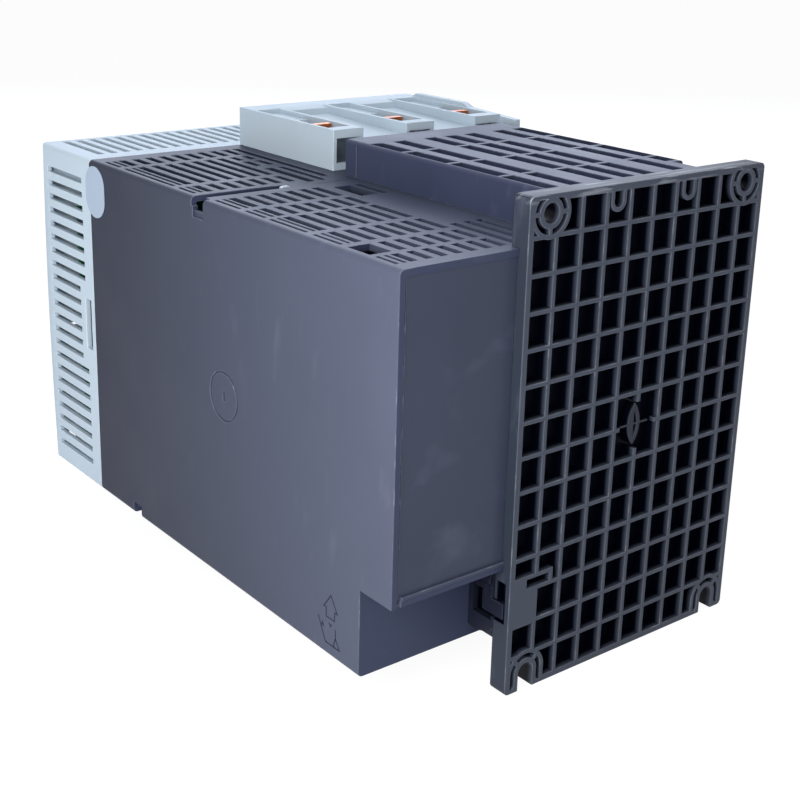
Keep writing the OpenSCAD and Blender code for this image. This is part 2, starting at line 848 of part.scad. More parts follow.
// Latch that holds the plate: it hangs on a pin in the heel's window,
// and its toe hooks behind the plate's skin.
module plate_latch() {
  x = [x_edge - 2.2, x_edge - slide_gap];
  y = [latch_y0 + slide_gap, latch_y1 - slide_gap];
  toe_x = x_edge - slot_in + slide_gap;
  toe_z = [catch_z[0] + 1, catch_z[1] - 1];
  color(dark)
    difference() {
      union() {
        box(x, y, [latch_z - 5.5, latch_z]);
        rod_y(latch_x, y, latch_z, latch_pin_r + 1.3);
        box(x, [y[1] - 5, y[1]], [toe_z[0], latch_z]);
        // toe through the plate's slot, and the lip behind the skin
        box([toe_x, x[1]], [y[1] - over, -3.4], toe_z);
        box([x_edge - latch_room + slide_gap, x[1]], [catch_y[0] + slide_gap, -3.4], toe_z);
        // grip ribs
        for (k = [0 : 1])
          rod_y(x[1] - 0.5, y, latch_z - 3.2 + 2 * k, 0.7);
      }
      rod_y(latch_x, [y[0] - over, y[1] + over], latch_z, latch_pin_r + turn_gap);
    }
}

// Front cover

module cover_side(inset) {
  intersection() {
    translate([arc_y, z_mid]) circle(r = arc_r - inset, $fn = 360);
    translate([y_apex - over, z_bot - over])
      square([cover_depth + cover_bulge + 3 * over, body_h + 2 * over]);
  }
}

module cover_plan(inset) {
  r = max(cover_edge_r - inset, 0.6);
  y1 = y_seam + (inset > 0 ? over : 0);
  w = x_right - x_left - 2 * inset;
  translate([x_left + inset + r, y_apex + inset]) square([w - 2 * r, y1 - y_apex - inset]);
  translate([x_left + inset, y_front + r]) square([w, y1 - y_front - r]);
  for (x = [x_left + inset + r, x_right - inset - r])
    translate([x, y_front + r]) circle(r);
}

module cover_body(inset) {
  intersection() {
    along_x([x_left - over, x_right + over]) cover_side(inset);
    along_z([z_bot - over, z_top + over]) cover_plan(inset);
    along_y([y_apex - over, y_seam + over]) housing_section(inset);
  }
}

// Louvres in a side wall; the rows beside the upright slot are shorter.
module louvres(x) {
  clip_z = z_mid + 1.1;
  for (i = [0 : louvre_rows - 1]) {
    z = z_top - louvre_top - i * louvre_pitch;
    short = abs(z - clip_z) < clip_slot_h / 2 + louvre_pitch;
    box([x - wall - over, x + wall + over],
        [y_front + louvre_front, y_seam - (short ? louvre_short : louvre_rear)],
        [z - louvre_h / 2, z + louvre_h / 2]);
  }
  box([x - wall - over, x + wall + over], [y_seam - 9, y_seam - 3.6],
    [clip_z - clip_slot_h / 2, clip_z + clip_slot_h / 2]);
}

module cover_vents(z) {
  for (i = [0 : floor((x_right - x_left - 2 * vent_inset) / vent_pitch)])
    box([vent_x(i) - vent_w / 2, vent_x(i) + vent_w / 2], [y_front + vent_front, y_seam - 9.6],
        [z - wall - over, z + wall + over]);
}

// Pocket that the operator panel drops into, with a ledge at its back.
module panel_rect(grow) {
  rounded([panel_xc - panel_w / 2 - grow, panel_xc + panel_w / 2 + grow],
          [panel_zc - panel_h / 2 - grow, panel_zc + panel_h / 2 + grow], 3 + max(grow, -2));
}

module flap_zone(side_gap, top_gap) {
  box([flap_x0 - side_gap, flap_x1 + side_gap], [y_apex - over, y_seam],
    [flap_z0 - side_gap, flap_z1 + top_gap]);
}

module front_cover() {
  panel_back = panel_y + panel_depth;
  color(pale)
    difference() {
      union() {
        difference() {
          cover_body(0);
          cover_body(wall);
        }
        intersection() {
          cover_body(0);
          union() {
            along_y([y_apex, panel_back + pocket_wall]) panel_rect(panel_fit + pocket_wall);
            for (x = cover_xs)
              for (z = cover_zs)
                rod_y(x, [y_apex, y_seam], z, cover_boss / 2);
            for (x = [flap_x0 - slide_gap - 4, flap_x1 + slide_gap])
              box([x, x + 4], [y_apex, flap_axis_y + 3.4], [flap_axis_z - 3.4, flap_axis_z + 3.4]);
          }
        }
      }
      along_y([y_apex - over, panel_back]) panel_rect(panel_fit);
      along_y([panel_back - over, panel_back + pocket_wall + over]) panel_rect(-2);
      flap_zone(slide_gap, knuckle_inset + 2 * slide_gap);
      rod_x([flap_x0 - pivot_len - 2 * slide_gap, flap_x1 + pivot_len + 2 * slide_gap],
            flap_axis_y, flap_axis_z, pivot_d / 2 + turn_gap);
      for (x = [x_left, x_right]) louvres(x);
      for (z = [z_bot, z_top]) cover_vents(z);
      for (x = cover_xs)
        for (z = cover_zs) {
          rod_y(x, [y_apex - over, y_seam + over], z, cover_screw_r + 0.25);
          rod_y(x, [y_apex - over, y_front + 12], z, cover_head_r + 0.25);
        }
    }
}

module operator_panel() {
  color(deep)
    difference() {
      along_y([panel_y, panel_y + panel_depth]) panel_rect(0);
      along_y([panel_y + panel_t, panel_y + panel_depth + over]) panel_rect(-panel_skirt);
      box([panel_xc - window_w / 2, panel_xc + window_w / 2], [panel_y - over, panel_y + window_t],
          [window_zc - window_h / 2, window_zc + window_h / 2]);
      box([panel_xc - window_w / 2 + window_lip, panel_xc + window_w / 2 - window_lip],
          [panel_y, panel_y + panel_t + over],
          [window_zc - window_h / 2 + window_lip, window_zc + window_h / 2 - window_lip]);
      for (i = [0 : 3])
        along_y([panel_y - over, panel_y + panel_t + over])
          rounded([key_x(i) - key_w / 2 - slide_gap, key_x(i) + key_w / 2 + slide_gap],
                  [key_zc - key_h / 2 - slide_gap, key_zc + key_h / 2 + slide_gap], 1.8);
    }
}

module window_pane() {
  color([0.55, 0.65, 0.60, 0.5])
    box([panel_xc - window_w / 2, panel_xc + window_w / 2], [panel_y, panel_y + window_t],
        [window_zc - window_h / 2, window_zc + window_h / 2]);
}

module display_module() {
  color([0.45, 0.52, 0.42])
    box([panel_xc - window_w / 2 - 2, panel_xc + window_w / 2 + 2],
        [panel_y + panel_t, panel_y + panel_t + lcd_t],
        [window_zc - window_h / 2 - 2, window_zc + window_h / 2 + 2]);
}

module keypad_board() {
  color(board)
    along_y([panel_y + panel_t + lcd_t, panel_y + panel_t + lcd_t + board_t]) panel_rect(-panel_skirt);
}

// Key cap with the flange that keeps it behind the panel.
module key(i) {
  y1 = panel_y + panel_t + slide_gap;
  color([0.62, 0.66, 0.69])
    union() {
      along_y([panel_y - key_proud, y1])
        rounded([key_x(i) - key_w / 2, key_x(i) + key_w / 2],
          [key_zc - key_h / 2, key_zc + key_h / 2], 1.5);
      box([key_x(i) - key_w / 2 - key_flange, key_x(i) + key_w / 2 + key_flange], [y1, y1 + key_flange_t],
          [key_zc - key_h / 2 - key_flange, key_zc + key_h / 2 + key_flange]);
    }
}

// Curved flap over the control terminals, hinged along its upper edge.
module control_flap() {
  color(pale)
    union() {
      difference() {
        intersection() {
          difference() {
            cover_body(0);
            cover_body(wall);
          }
          flap_zone(0, 0);
        }
        box([flap_x0 - over, flap_x1 + over], [y_apex - over, y_seam], [flap_axis_z, flap_z1 + over]);
      }
      rod_x([flap_x0, flap_x1], flap_axis_y, flap_axis_z, knuckle_r);
      rod_x([flap_x0 - pivot_len, flap_x1 + pivot_len], flap_axis_y, flap_axis_z, pivot_d / 2);
    }
}

module control_board() {
  color(board)
    box([control_x0, x_right - wall - slide_gap], [control_y, control_y + board_t],
      [control_z0, control_z1]);
}

// Screw terminals on the control board: wire mouths below, screw wells above.
module terminal_plug(z) {
  y0 = control_y - plug_d;
  color([0.25, 0.45, 0.33])
    difference() {
      along_x([plug_x0, plug_x0 + poles * pole_pitch])
        polygon([[y0, z], [y0, z + plug_h - 5], [y0 + 5, z + plug_h], [control_y, z + plug_h],
          [control_y, z]]);
      for (i = [0 : poles - 1]) {
        x = plug_x0 + (i + 0.5) * pole_pitch;
        box([x - 1.7, x + 1.7], [y0 - over, y0 + 9], [z + 2, z + 5.6]);
        translate([x, y0 + 7.6, z + 6.4]) cylinder(h = plug_h, r = 1.65);
      }
    }
}

module plug_screws() {
  color(steel)
    for (z = plug_zs)
      for (i = [0 : poles - 1])
        translate([plug_x0 + (i + 0.5) * pole_pitch, control_y - plug_d + 7.6, z + 6.4])
          difference() {
            cylinder(h = plug_h - 9, r = 1.6);
            translate([-2, -0.3, plug_h - 10]) cube([4, 0.6, 2]);
          }
}

// Power terminals, drawn outward from the face of the housing

// Land between two tunnels: a step behind the hood, then a gentle fall to the duct.
module land_profile(h) {
  y_end = y_duct - slide_gap;
  polygon([
    [y_hood - over, 0],
    [y_hood - over, h],
    [y_hood, h],
    [y_hood + 5.6, h - 0.8],
    [y_hood + 6.6, h - land_drop],
    [y_end, h - land_drop - 2],
    [y_end, 0]]);
}

// Raised end wall beside the last tunnel, cut off towards the duct.
module end_profile(h, rise) {
  y_end = y_duct - slide_gap;
  polygon([
    [y_hood - over, 0],
    [y_hood - over, h],
    [y_hood, h],
    [y_hood + 3, h + rise],
    [y_hood + 37, h + rise],
    [y_hood + 42, h],
    [y_end, h - 1.4],
    [y_end, 0]]);
}

module terminal_block(h, rise) {
  color(pale)
    difference() {
      union() {
        box([block_x0, block_x1], [y_seam, y_hood], [0, h]);
        for (i = [0 : 2]) {
          x1 = phase_x(i) + tunnel_w / 2;
          box([x1 - tunnel_w, x1], [y_hood - over, y_tunnel], [0, h]);
          if (i < 2)
            along_x([phase_x(i + 1) + tunnel_w / 2, x1 - tunnel_w]) land_profile(h);
        }
        along_x([block_x0, phase_x(2) - tunnel_w / 2]) end_profile(h, rise);
      }
      for (i = [0 : 2]) {
        x = [phase_x(i) - tunnel_in / 2, phase_x(i) + tunnel_in / 2];
        box(x, [tunnel_y0, y_tunnel - lip_t], [block_floor, clamp_room - block_roof]);
        box(x, [y_tunnel - lip_t - over, y_tunnel + over], [block_floor + lip_h, clamp_room - block_roof]);
        // shallow trough in the roof, and the opening over the clamp
        if (h > clamp_room + 0.5)
          box(x, [y_hood + 3, roof_y], [clamp_room, h + over]);
        box(x, [y_open, roof_y], [clamp_room - block_roof - over, h + over]);
        // screwdriver way from the front, and the copper bar's slot in the floor
        rod_y(phase_x(i), [y_seam - over, tunnel_y0 + over], axis_h, screw_head_r + 0.5);
        box([phase_x(i) - bar_w / 2 - 0.2, phase_x(i) + bar_w / 2 + 0.2],
          [bar_y - bar_t - 0.2, bar_y + 0.2], [-over, 3]);
      }
    }
}

module upper_terminal_block() {
  on_top() terminal_block(block_h, end_rise);
}

module lower_terminal_block() {
  on_underside() terminal_block(foot_room, 0);
}

// Copper bar: an upright strip in the clamp, a foot across to the module and a tab on the module's face.
module power_bar(i, h) {
  top = h - 0.5;
  xs = [min(phase_x(i), module_x(i)) - bar_w / 2, max(phase_x(i), module_x(i)) + bar_w / 2];
  z_foot = [-bar_depth - bar_foot, -bar_depth];
  color(copper)
    union() {
      box([phase_x(i) - bar_w / 2, phase_x(i) + bar_w / 2], [bar_y - bar_t, bar_y], [z_foot[0], top]);
      box(xs, [bar_y - bar_t, bar_y], z_foot);
      box([module_x(i) - bar_w / 2, module_x(i) + bar_w / 2], [bar_y - over, y_module], z_foot);
    }
}

// Clamp cage around the bar; its front wall is the nut of the clamp screw.
module clamp_cage(i) {
  z = [block_floor + slide_gap, block_floor + slide_gap + cage_h];
  color(steel)
    difference() {
      box([phase_x(i) - cage_w / 2, phase_x(i) + cage_w / 2], [cage_y0, cage_y1], z);
      box([phase_x(i) - cage_w / 2 + cage_side, phase_x(i) + cage_w / 2 - cage_side],
          [cage_y0 + cage_wall, cage_y1 - cage_wall], [z[0] - over, z[1] + over]);
      rod_y(phase_x(i), [cage_y0 - over, cage_y0 + cage_wall + over], axis_h, screw_d / 2 + turn_gap);
    }
}

// Clamp screw with a hexagon socket; its tip bears on the bar.
module clamp_screw(i) {
  color(alu)
    difference() {
      union() {
        rod_y(phase_x(i), [screw_seat - screw_head_t, screw_seat], axis_h, screw_head_r);
        rod_y(phase_x(i), [screw_seat - over, screw_tip], axis_h, screw_d / 2);
      }
      translate([phase_x(i), screw_seat - screw_head_t + 3, axis_h])
        rotate([90, 0, 0]) cylinder(h = 4, d = screw_d * 0.75, $fn = 6);
    }
}

// Inner pieces

module heat_sink() {
  x = [duct_x0 + wall, duct_x1 - wall];
  fin_t = 2;
  step = (x[1] - x[0] - fin_t) / (fins - 1);
  color(alu)
    along_z([sink_z0, sink_z1]) {
      translate([x[0], y_duct]) square([x[1] - x[0], sink_base]);
      for (i = [0 : fins - 1])
        translate([x[0] + i * step, y_duct + sink_base - over])
          square([fin_t, duct_depth - sink_base - plate_t - 4 + over]);
    }
}

module thyristor(i) {
  color(black)
    difference() {
      box([module_x(i) - module_w / 2, module_x(i) + module_w / 2], [y_module, y_duct],
        [module_z0, module_z1]);
      for (z = [module_z0 + 26, module_z1 - 32])
        box([module_x(i) - module_w / 2 - over, module_x(i) + module_w / 2 + over],
          [y_module - over, y_module + 4], [z, z + 6]);
    }
}

module power_board() {
  color(board)
    difference() {
      box([block_x0 + wall + 2, duct_x1 - wall - 2], [y_board - board_t, y_board],
        [sink_z0 - 4, sink_z1 - 1]);
      for (x = [phase_x(2) + phase_pitch / 2, phase_x(0) - phase_pitch / 2])
        for (z = [sink_z0 + 3.5, sink_z1 - 7])
          rod_y(x, [y_board - board_t - over, y_board + over], z, 1.6);
    }
}

// Spacers between the heat sink and the power board, with the screw ends that pass the board.
module board_posts() {
  color([0.75, 0.62, 0.30])
    for (x = [phase_x(2) + phase_pitch / 2, phase_x(0) - phase_pitch / 2])
      for (z = [sink_z0 + 3.5, sink_z1 - 7]) {
        rod_y(x, [y_board, y_duct], z, post_r);
        rod_y(x, [y_board - board_t - 2, y_board + over], z, 1.5);
      }
}

module bypass_relay(i) {
  color([0.12, 0.14, 0.20])
    box([module_x(i) - 11, module_x(i) + 11], [y_board - board_t - 22, y_board - board_t],
      [z_mid - 15, z_mid + 35]);
}

module current_sensor(i) {
  z = [z_bot + wall, z_bot + wall + 13];
  side = bar_w / 2 + 1.8;
  color([0.15, 0.22, 0.38])
    difference() {
      box([phase_x(i) - side, phase_x(i) + side], [bar_y - bar_t - 9, bar_y + 9], z);
      box([phase_x(i) - bar_w / 2 - 0.2, phase_x(i) + bar_w / 2 + 0.2],
        [bar_y - bar_t - 0.2, bar_y + 0.2], [z[0] - over, z[1] + over]);
    }
}

// Laminated core with a wound bobbin.
module control_transformer() {
  x = [duct_x1 + 16, duct_x1 + 62];
  y = [y_seam + 50, y_seam + 90];
  z = z_bot + wall;
  color([0.35, 0.33, 0.30])
    union() {
      difference() {
        box(x, y, [z, z + 40]);
        box([x[0] + 8, x[0] + 16], [y[0] - over, y[1] + over], [z + 8, z + 32]);
        box([x[1] - 16, x[1] - 8], [y[0] - over, y[1] + over], [z + 8, z + 32]);
      }
      along_z([z + 9, z + 31])
        difference() {
          rounded([x[0] + 9, x[1] - 9], [y[0] - 7, y[1] + 7], 4);
          translate([x[0] + 15.5, y[0] + 0.5]) square([x[1] - x[0] - 31, y[1] - y[0] - 1]);
        }
    }
}

module cover_screws() {
  color(steel)
    for (x = cover_xs)
      for (z = cover_zs)
        difference() {
          union() {
            rod_y(x, [y_front + 9, y_front + 12], z, cover_head_r);
            rod_y(x, [y_front + 11, y_seam + cover_pillar - 6], z, cover_screw_r - turn_gap);
          }
          box([x - 3, x + 3], [y_front + 8, y_front + 10], [z - 0.5, z + 0.5]);
          box([x - 0.5, x + 0.5], [y_front + 8, y_front + 10], [z - 3, z + 3]);
        }
}

// Plain round seal across the seam.
module seal_disc() {
  color("white")
    along_x([x_right, x_right + 0.25])
      rounded([y_seam - 3.4, y_seam + 13.4], [z_top - 24, z_top - 2], 8.2);
}

base_plate();
main_housing();
rear_panel();
air_hood();
fan_tray();
fan_frame();
fan_rotor();
plate_latch();
front_cover();
operator_panel();
window_pane();
display_module();
keypad_board();
key(0);  // key_up
key(1);  // key_down
key(2);  // key_back
key(3);  // key_enter
control_flap();
control_board();
terminal_plug(plug_zs[1]);  // terminal_plug_upper
terminal_plug(plug_zs[0]);  // terminal_plug_lower
plug_screws();
upper_terminal_block();
lower_terminal_block();
on_top() power_bar(0, block_h);  // line_bar_1
on_top() power_bar(1, block_h);  // line_bar_2
on_top() power_bar(2, block_h);  // line_bar_3
on_underside() power_bar(0, foot_room);  // load_bar_1
on_underside() power_bar(1, foot_room);  // load_bar_2
on_underside() power_bar(2, foot_room);  // load_bar_3
on_top() clamp_cage(0);  // line_cage_1
on_top() clamp_cage(1);  // line_cage_2
on_top() clamp_cage(2);  // line_cage_3
on_underside() clamp_cage(0);  // load_cage_1
on_underside() clamp_cage(1);  // load_cage_2
on_underside() clamp_cage(2);  // load_cage_3
on_top() clamp_screw(0);  // line_screw_1
on_top() clamp_screw(1);  // line_screw_2
on_top() clamp_screw(2);  // line_screw_3
on_underside() clamp_screw(0);  // load_screw_1
on_underside() clamp_screw(1);  // load_screw_2
on_underside() clamp_screw(2);  // load_screw_3
heat_sink();
thyristor(0);  // thyristor_1
thyristor(1);  // thyristor_2
thyristor(2);  // thyristor_3
power_board();
board_posts();
bypass_relay(0);  // bypass_relay_1
bypass_relay(1);  // bypass_relay_2
bypass_relay(2);  // bypass_relay_3
current_sensor(0);  // current_sensor_1
current_sensor(1);  // current_sensor_2
current_sensor(2);  // current_sensor_3
control_transformer();
cover_screws();
seal_disc();
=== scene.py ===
import math

import bmesh
import bpy
from mathutils import Matrix, Vector


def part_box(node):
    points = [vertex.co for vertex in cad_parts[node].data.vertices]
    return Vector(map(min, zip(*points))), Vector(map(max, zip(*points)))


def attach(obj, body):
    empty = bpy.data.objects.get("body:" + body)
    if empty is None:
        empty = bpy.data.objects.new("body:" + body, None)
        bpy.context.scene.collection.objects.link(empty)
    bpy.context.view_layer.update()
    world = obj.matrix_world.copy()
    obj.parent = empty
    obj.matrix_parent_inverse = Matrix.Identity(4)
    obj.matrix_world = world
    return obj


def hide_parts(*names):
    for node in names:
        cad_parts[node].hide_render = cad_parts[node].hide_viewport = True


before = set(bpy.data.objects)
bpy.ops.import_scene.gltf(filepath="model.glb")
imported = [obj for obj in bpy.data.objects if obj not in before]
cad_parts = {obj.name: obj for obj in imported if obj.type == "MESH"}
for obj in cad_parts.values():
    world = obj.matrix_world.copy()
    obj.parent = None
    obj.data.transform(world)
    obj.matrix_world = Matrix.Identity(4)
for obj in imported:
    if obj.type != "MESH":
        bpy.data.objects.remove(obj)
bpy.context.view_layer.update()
scene = bpy.context.scene
mm = 0.001
print("frame loaded:", len(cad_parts), "nodes")


def toLinear(hexText):
    values = [int(hexText[i:i + 2], 16) / 255 for i in (1, 3, 5)]
    return tuple(v / 12.92 if v <= 0.04045 else ((v + 0.055) / 1.055) ** 2.4 for v in values) + (1.0,)


# an input is a value or the socket it is linked from
def setInputs(tree, made, inputs):
    for key, value in inputs.items():
        if isinstance(value, bpy.types.NodeSocket):
            tree.links.new(value, made.inputs[key])
        else:
            made.inputs[key].default_value = value


def addNode(tree, kind, inputs=None, **settings):
    made = tree.nodes.new(kind)
    for key, value in settings.items():
        setattr(made, key, value)
    setInputs(tree, made, inputs or {})
    return made


def newMaterial(name):
    material = bpy.data.materials.new(name)
    material.use_nodes = True
    tree = material.node_tree
    place = addNode(tree, "ShaderNodeTexCoord").outputs["Object"]
    return material, tree, tree.nodes["Principled BSDF"], place


def mixColour(tree, share, first, second):
    return addNode(tree, "ShaderNodeMix", {0: share, 6: first, 7: second}, data_type="RGBA").outputs[2]


# Injection-moulded plastic: an eroded mould leaves a fine grain, handling leaves pale rubs,
# and thick and thin walls cool to slightly different tones.
def mouldedPlastic(name, look):
    material, tree, shader, place = newMaterial(name)
    cloud = addNode(tree, "ShaderNodeTexNoise",
                    {"Vector": place, "Scale": 1 / (look["cloudMm"] * mm), "Detail": 3.0}).outputs["Fac"]
    # real grain is about 0.1 mm; drawn coarser so that it shows
    grain = addNode(tree, "ShaderNodeTexNoise",
                    {"Vector": place, "Scale": 1 / (look["grainMm"] * mm), "Detail": 2.0, "Roughness": 0.6})
    turned = addNode(tree, "ShaderNodeMapping",
                     {"Vector": place, "Rotation": (0.5, 0.3, 0.8), "Scale": (1.0, 5.0, 1.4)})
    rub = addNode(tree, "ShaderNodeTexNoise",
                  {"Vector": turned.outputs["Vector"], "Scale": 1 / (look["rubMm"] * mm), "Detail": 5.0})
    rubMask = addNode(tree, "ShaderNodeMapRange",
                      {"Value": rub.outputs["Fac"], "From Min": look["rubFrom"], "From Max": look["rubFrom"] + 0.2,
                       "To Min": 0.0, "To Max": look["rub"]})
    colour = mixColour(tree, cloud, toLinear(look["shade"]), toLinear(look["colour"]))
    colour = mixColour(tree, rubMask.outputs["Result"], colour, toLinear(look["worn"]))
    axes = addNode(tree, "ShaderNodeSeparateXYZ", {"Vector": place})
    if "frontShade" in look:  # darker towards the front: the photograph's shade, drawn into the colour
        row = look["frontShade"]
        frontShadeShare = addNode(tree, "ShaderNodeMapRange",
                       {"Value": axes.outputs["Y"], "From Min": row["darkestMm"] * mm, "From Max": row["unshadedMm"] * mm,
                        "To Min": row["share"], "To Max": 0.0})
        colour = mixColour(tree, frontShadeShare.outputs["Result"], colour, toLinear(row["colour"]))
    if "scuff" in look:  # pale scratches along an edge that gets knocked, such as the plate's upper one
        row = look["scuff"]
        near = addNode(tree, "ShaderNodeMapRange",
                       {"Value": axes.outputs["Z"], "From Min": row["fromMm"] * mm, "From Max": row["toMm"] * mm})
        drawn = addNode(tree, "ShaderNodeMapping", {"Vector": place, "Scale": (0.12, 1.0, 1.0)})
        scratch = addNode(tree, "ShaderNodeTexNoise",
                          {"Vector": drawn.outputs["Vector"], "Scale": 1 / (row["scratchMm"] * mm), "Detail": 4.0})
        cut = addNode(tree, "ShaderNodeMapRange",
                      {"Value": scratch.outputs["Fac"], "From Min": 0.52, "From Max": 0.66, "To Max": row["share"]})
        both = addNode(tree, "ShaderNodeMath", {0: near.outputs["Result"], 1: cut.outputs["Result"]},
                       operation="MULTIPLY")
        colour = mixColour(tree, both.outputs[0], colour, toLinear(row["colour"]))
    if "deep" in look:  # darker away from the rear face: the photograph's shade in the open cells
        row = look["deep"]
        deep = addNode(tree, "ShaderNodeMapRange",
                       {"Value": axes.outputs["Y"], "From Min": row["floorMm"] * mm, "From Max": row["faceMm"] * mm,
                        "To Min": row["share"], "To Max": 0.0})
        colour = mixColour(tree, deep.outputs["Result"], colour, toLinear(row["colour"]))
    rough = addNode(tree, "ShaderNodeMapRange",
                    {"Value": cloud, "From Min": 0.3, "From Max": 0.7,
                     "To Min": look["roughness"] - 0.05, "To Max": look["roughness"] + 0.06})
    bump = addNode(tree, "ShaderNodeBump",
                   {"Strength": look["bump"], "Distance": 0.05 * mm, "Height": grain.outputs["Fac"]})
    setInputs(tree, shader, {"Base Color": colour, "Roughness": rough.outputs["Result"],
                             "Normal": bump.outputs["Normal"], "Specular IOR Level": look["shine"]})
    return material


# Metal parts: the forming direction leaves fine lines, plating varies in cloudy patches.
def workedMetal(name, look):
    material, tree, shader, place = newMaterial(name)
    stretched = addNode(tree, "ShaderNodeMapping", {"Vector": place, "Scale": look["lines"]})
    line = addNode(tree, "ShaderNodeTexNoise",
                   {"Vector": stretched.outputs["Vector"], "Scale": 1 / (look["lineMm"] * mm), "Detail": 3.0})
    patch = addNode(tree, "ShaderNodeTexNoise",
                    {"Vector": place, "Scale": 1 / (look["patchMm"] * mm), "Detail": 3.0})
    spread = addNode(tree, "ShaderNodeMapRange",
                     {"Value": patch.outputs["Fac"], "From Min": 0.35, "From Max": 0.65})
    colour = mixColour(tree, spread.outputs["Result"], toLinear(look["colour"]), toLinear(look["tarnish"]))
    rough = addNode(tree, "ShaderNodeMapRange",
                    {"Value": line.outputs["Fac"], "From Min": 0.3, "From Max": 0.7,
                     "To Min": look["roughness"] - 0.08, "To Max": look["roughness"] + 0.1})
    bump = addNode(tree, "ShaderNodeBump",
                   {"Strength": look["bump"], "Distance": 0.03 * mm, "Height": line.outputs["Fac"]})
    setInputs(tree, shader, {"Base Color": colour, "Metallic": 1.0,
                             "Roughness": rough.outputs["Result"], "Normal": bump.outputs["Normal"]})
    return material


# Clear moulded polycarbonate: a faint haze from wiping breaks up its gloss.
def clearPlastic(name, look):
    material, tree, shader, place = newMaterial(name)
    haze = addNode(tree, "ShaderNodeTexNoise", {"Vector": place, "Scale": 1 / (look["hazeMm"] * mm), "Detail": 3.0})
    rough = addNode(tree, "ShaderNodeMapRange", {"Value": haze.outputs["Fac"], "To Min": 0.04, "To Max": 0.14})
    setInputs(tree, shader, {"Base Color": toLinear(look["colour"]), "Roughness": rough.outputs["Result"],
                             "Transmission Weight": look["clear"], "IOR": 1.58})
    return material


darkLook = {"colour": "#3b4158", "shade": "#31384d", "worn": "#6a6f82", "cloudMm": 45, "grainMm": 0.7,
            "rubMm": 34, "rubFrom": 0.6, "rub": 0.3, "roughness": 0.42, "shine": 0.12, "bump": 0.1}
darkAbs = mouldedPlastic("moulded ABS, blue grey", darkLook)
# painted light and shade: the housing is a lighter copy of the dark plastic, darkened towards the front
housingAbs = mouldedPlastic("moulded ABS, blue grey housing",
                            {**darkLook, "colour": "#4f5567", "shade": "#464b5d",
                             "frontShade": {"darkestMm": -217, "unshadedMm": -4, "share": 1.0, "colour": "#222738"}})
plateAbs = mouldedPlastic("moulded ABS, ribbed plate",
                          {**darkLook, "colour": "#454b59", "shade": "#3d4350",
                           "deep": {"floorMm": -2.6, "faceMm": -0.2, "share": 1.0, "colour": "#01030f"},
                           "scuff": {"fromMm": 181.0, "toMm": 183.6, "scratchMm": 2.5, "share": 0.75,
                                     "colour": "#b6bcc6"}})
# painted highlight: rounded edges drawn lighter than the plastic, with rubs from handling on top
darkEdge = mouldedPlastic("moulded ABS, rubbed edge, painted highlight",
                          {**darkLook, "colour": "#545969", "shade": "#4a4f60", "worn": "#8b90a0",
                           "rubMm": 9, "rubFrom": 0.55, "rub": 0.6})
# painted highlight: the plate's rounded edges drawn lighter than its plastic, with rubs and scratches from handling
# on top
plateEdge = mouldedPlastic("moulded ABS, rubbed plate edge, painted highlight",
                           {**darkLook, "colour": "#535862", "shade": "#494e58", "worn": "#868b93",
                            "rubMm": 9, "rubFrom": 0.55, "rub": 0.6,
                            "deep": {"floorMm": -2.6, "faceMm": -0.7, "share": 1.0, "colour": "#01030f"},
                            "scuff": {"fromMm": 181.0, "toMm": 183.6, "scratchMm": 2.0, "share": 0.7,
                                      "colour": "#b9c0cb"}})
# painted shade: the plate's rim is a darker copy of its plastic, for the shadow on it; the pale scratches are wear
plateRim = mouldedPlastic("moulded ABS, plate rim, painted shade",
                          {**darkLook, "colour": "#323844", "shade": "#2b313d",
                           "scuff": {"fromMm": 181.0, "toMm": 183.6, "scratchMm": 2.5, "share": 0.4,
                                     "colour": "#aab1bd"}})
shadedAbs = mouldedPlastic("moulded ABS, painted recess shade",  # painted shade: near black for the shadow in the recess beside the latch and on the latch
                           {**darkLook, "colour": "#1f2331", "shade": "#181b27", "worn": "#3d4252"})
panelAbs = mouldedPlastic("moulded ABS, smooth panel",
                          {**darkLook, "colour": "#3d4253", "shade": "#363b4c", "roughness": 0.36, "bump": 0.05})
# painted shade: the dark of the sunk lines in a moulded sign
markShade = mouldedPlastic("moulded ABS, sunk mark, painted shade",
                         {**darkLook, "colour": "#262a38", "shade": "#1f2330", "worn": "#363b4a", "roughness": 0.55})
lightLook = {"colour": "#bccbd7", "shade": "#b0bfcb", "worn": "#d3dee7", "cloudMm": 45, "grainMm": 0.7,
             "rubMm": 26, "rubFrom": 0.62, "rub": 0.3, "roughness": 0.5, "shine": 0.2, "bump": 0.1}
lightAbs = mouldedPlastic("moulded polycarbonate, light grey", lightLook)
# painted highlight: rounded edges drawn lighter than the plastic
lightEdge = mouldedPlastic("moulded polycarbonate, edge with painted highlight",
                           {**lightLook, "colour": "#c9d6e1", "shade": "#bccad6"})
blackPbt = mouldedPlastic("moulded PBT, black",
                          {**darkLook, "colour": "#1d1e21", "shade": "#17181a", "worn": "#4a4c50"})
greenPlug = mouldedPlastic("moulded polyamide, green",
                           {**darkLook, "colour": "#3f7d54", "shade": "#366e49", "worn": "#7aa888"})
keyRubber = mouldedPlastic("silicone rubber key", {**lightLook, "colour": "#8f979d", "shade": "#858d93",
                                                   "roughness": 0.65})
symbolInk = mouldedPlastic("printed key symbol", {**lightLook, "colour": "#f0f3f4", "shade": "#e6eaec",
                                                  "roughness": 0.6, "bump": 0.05})
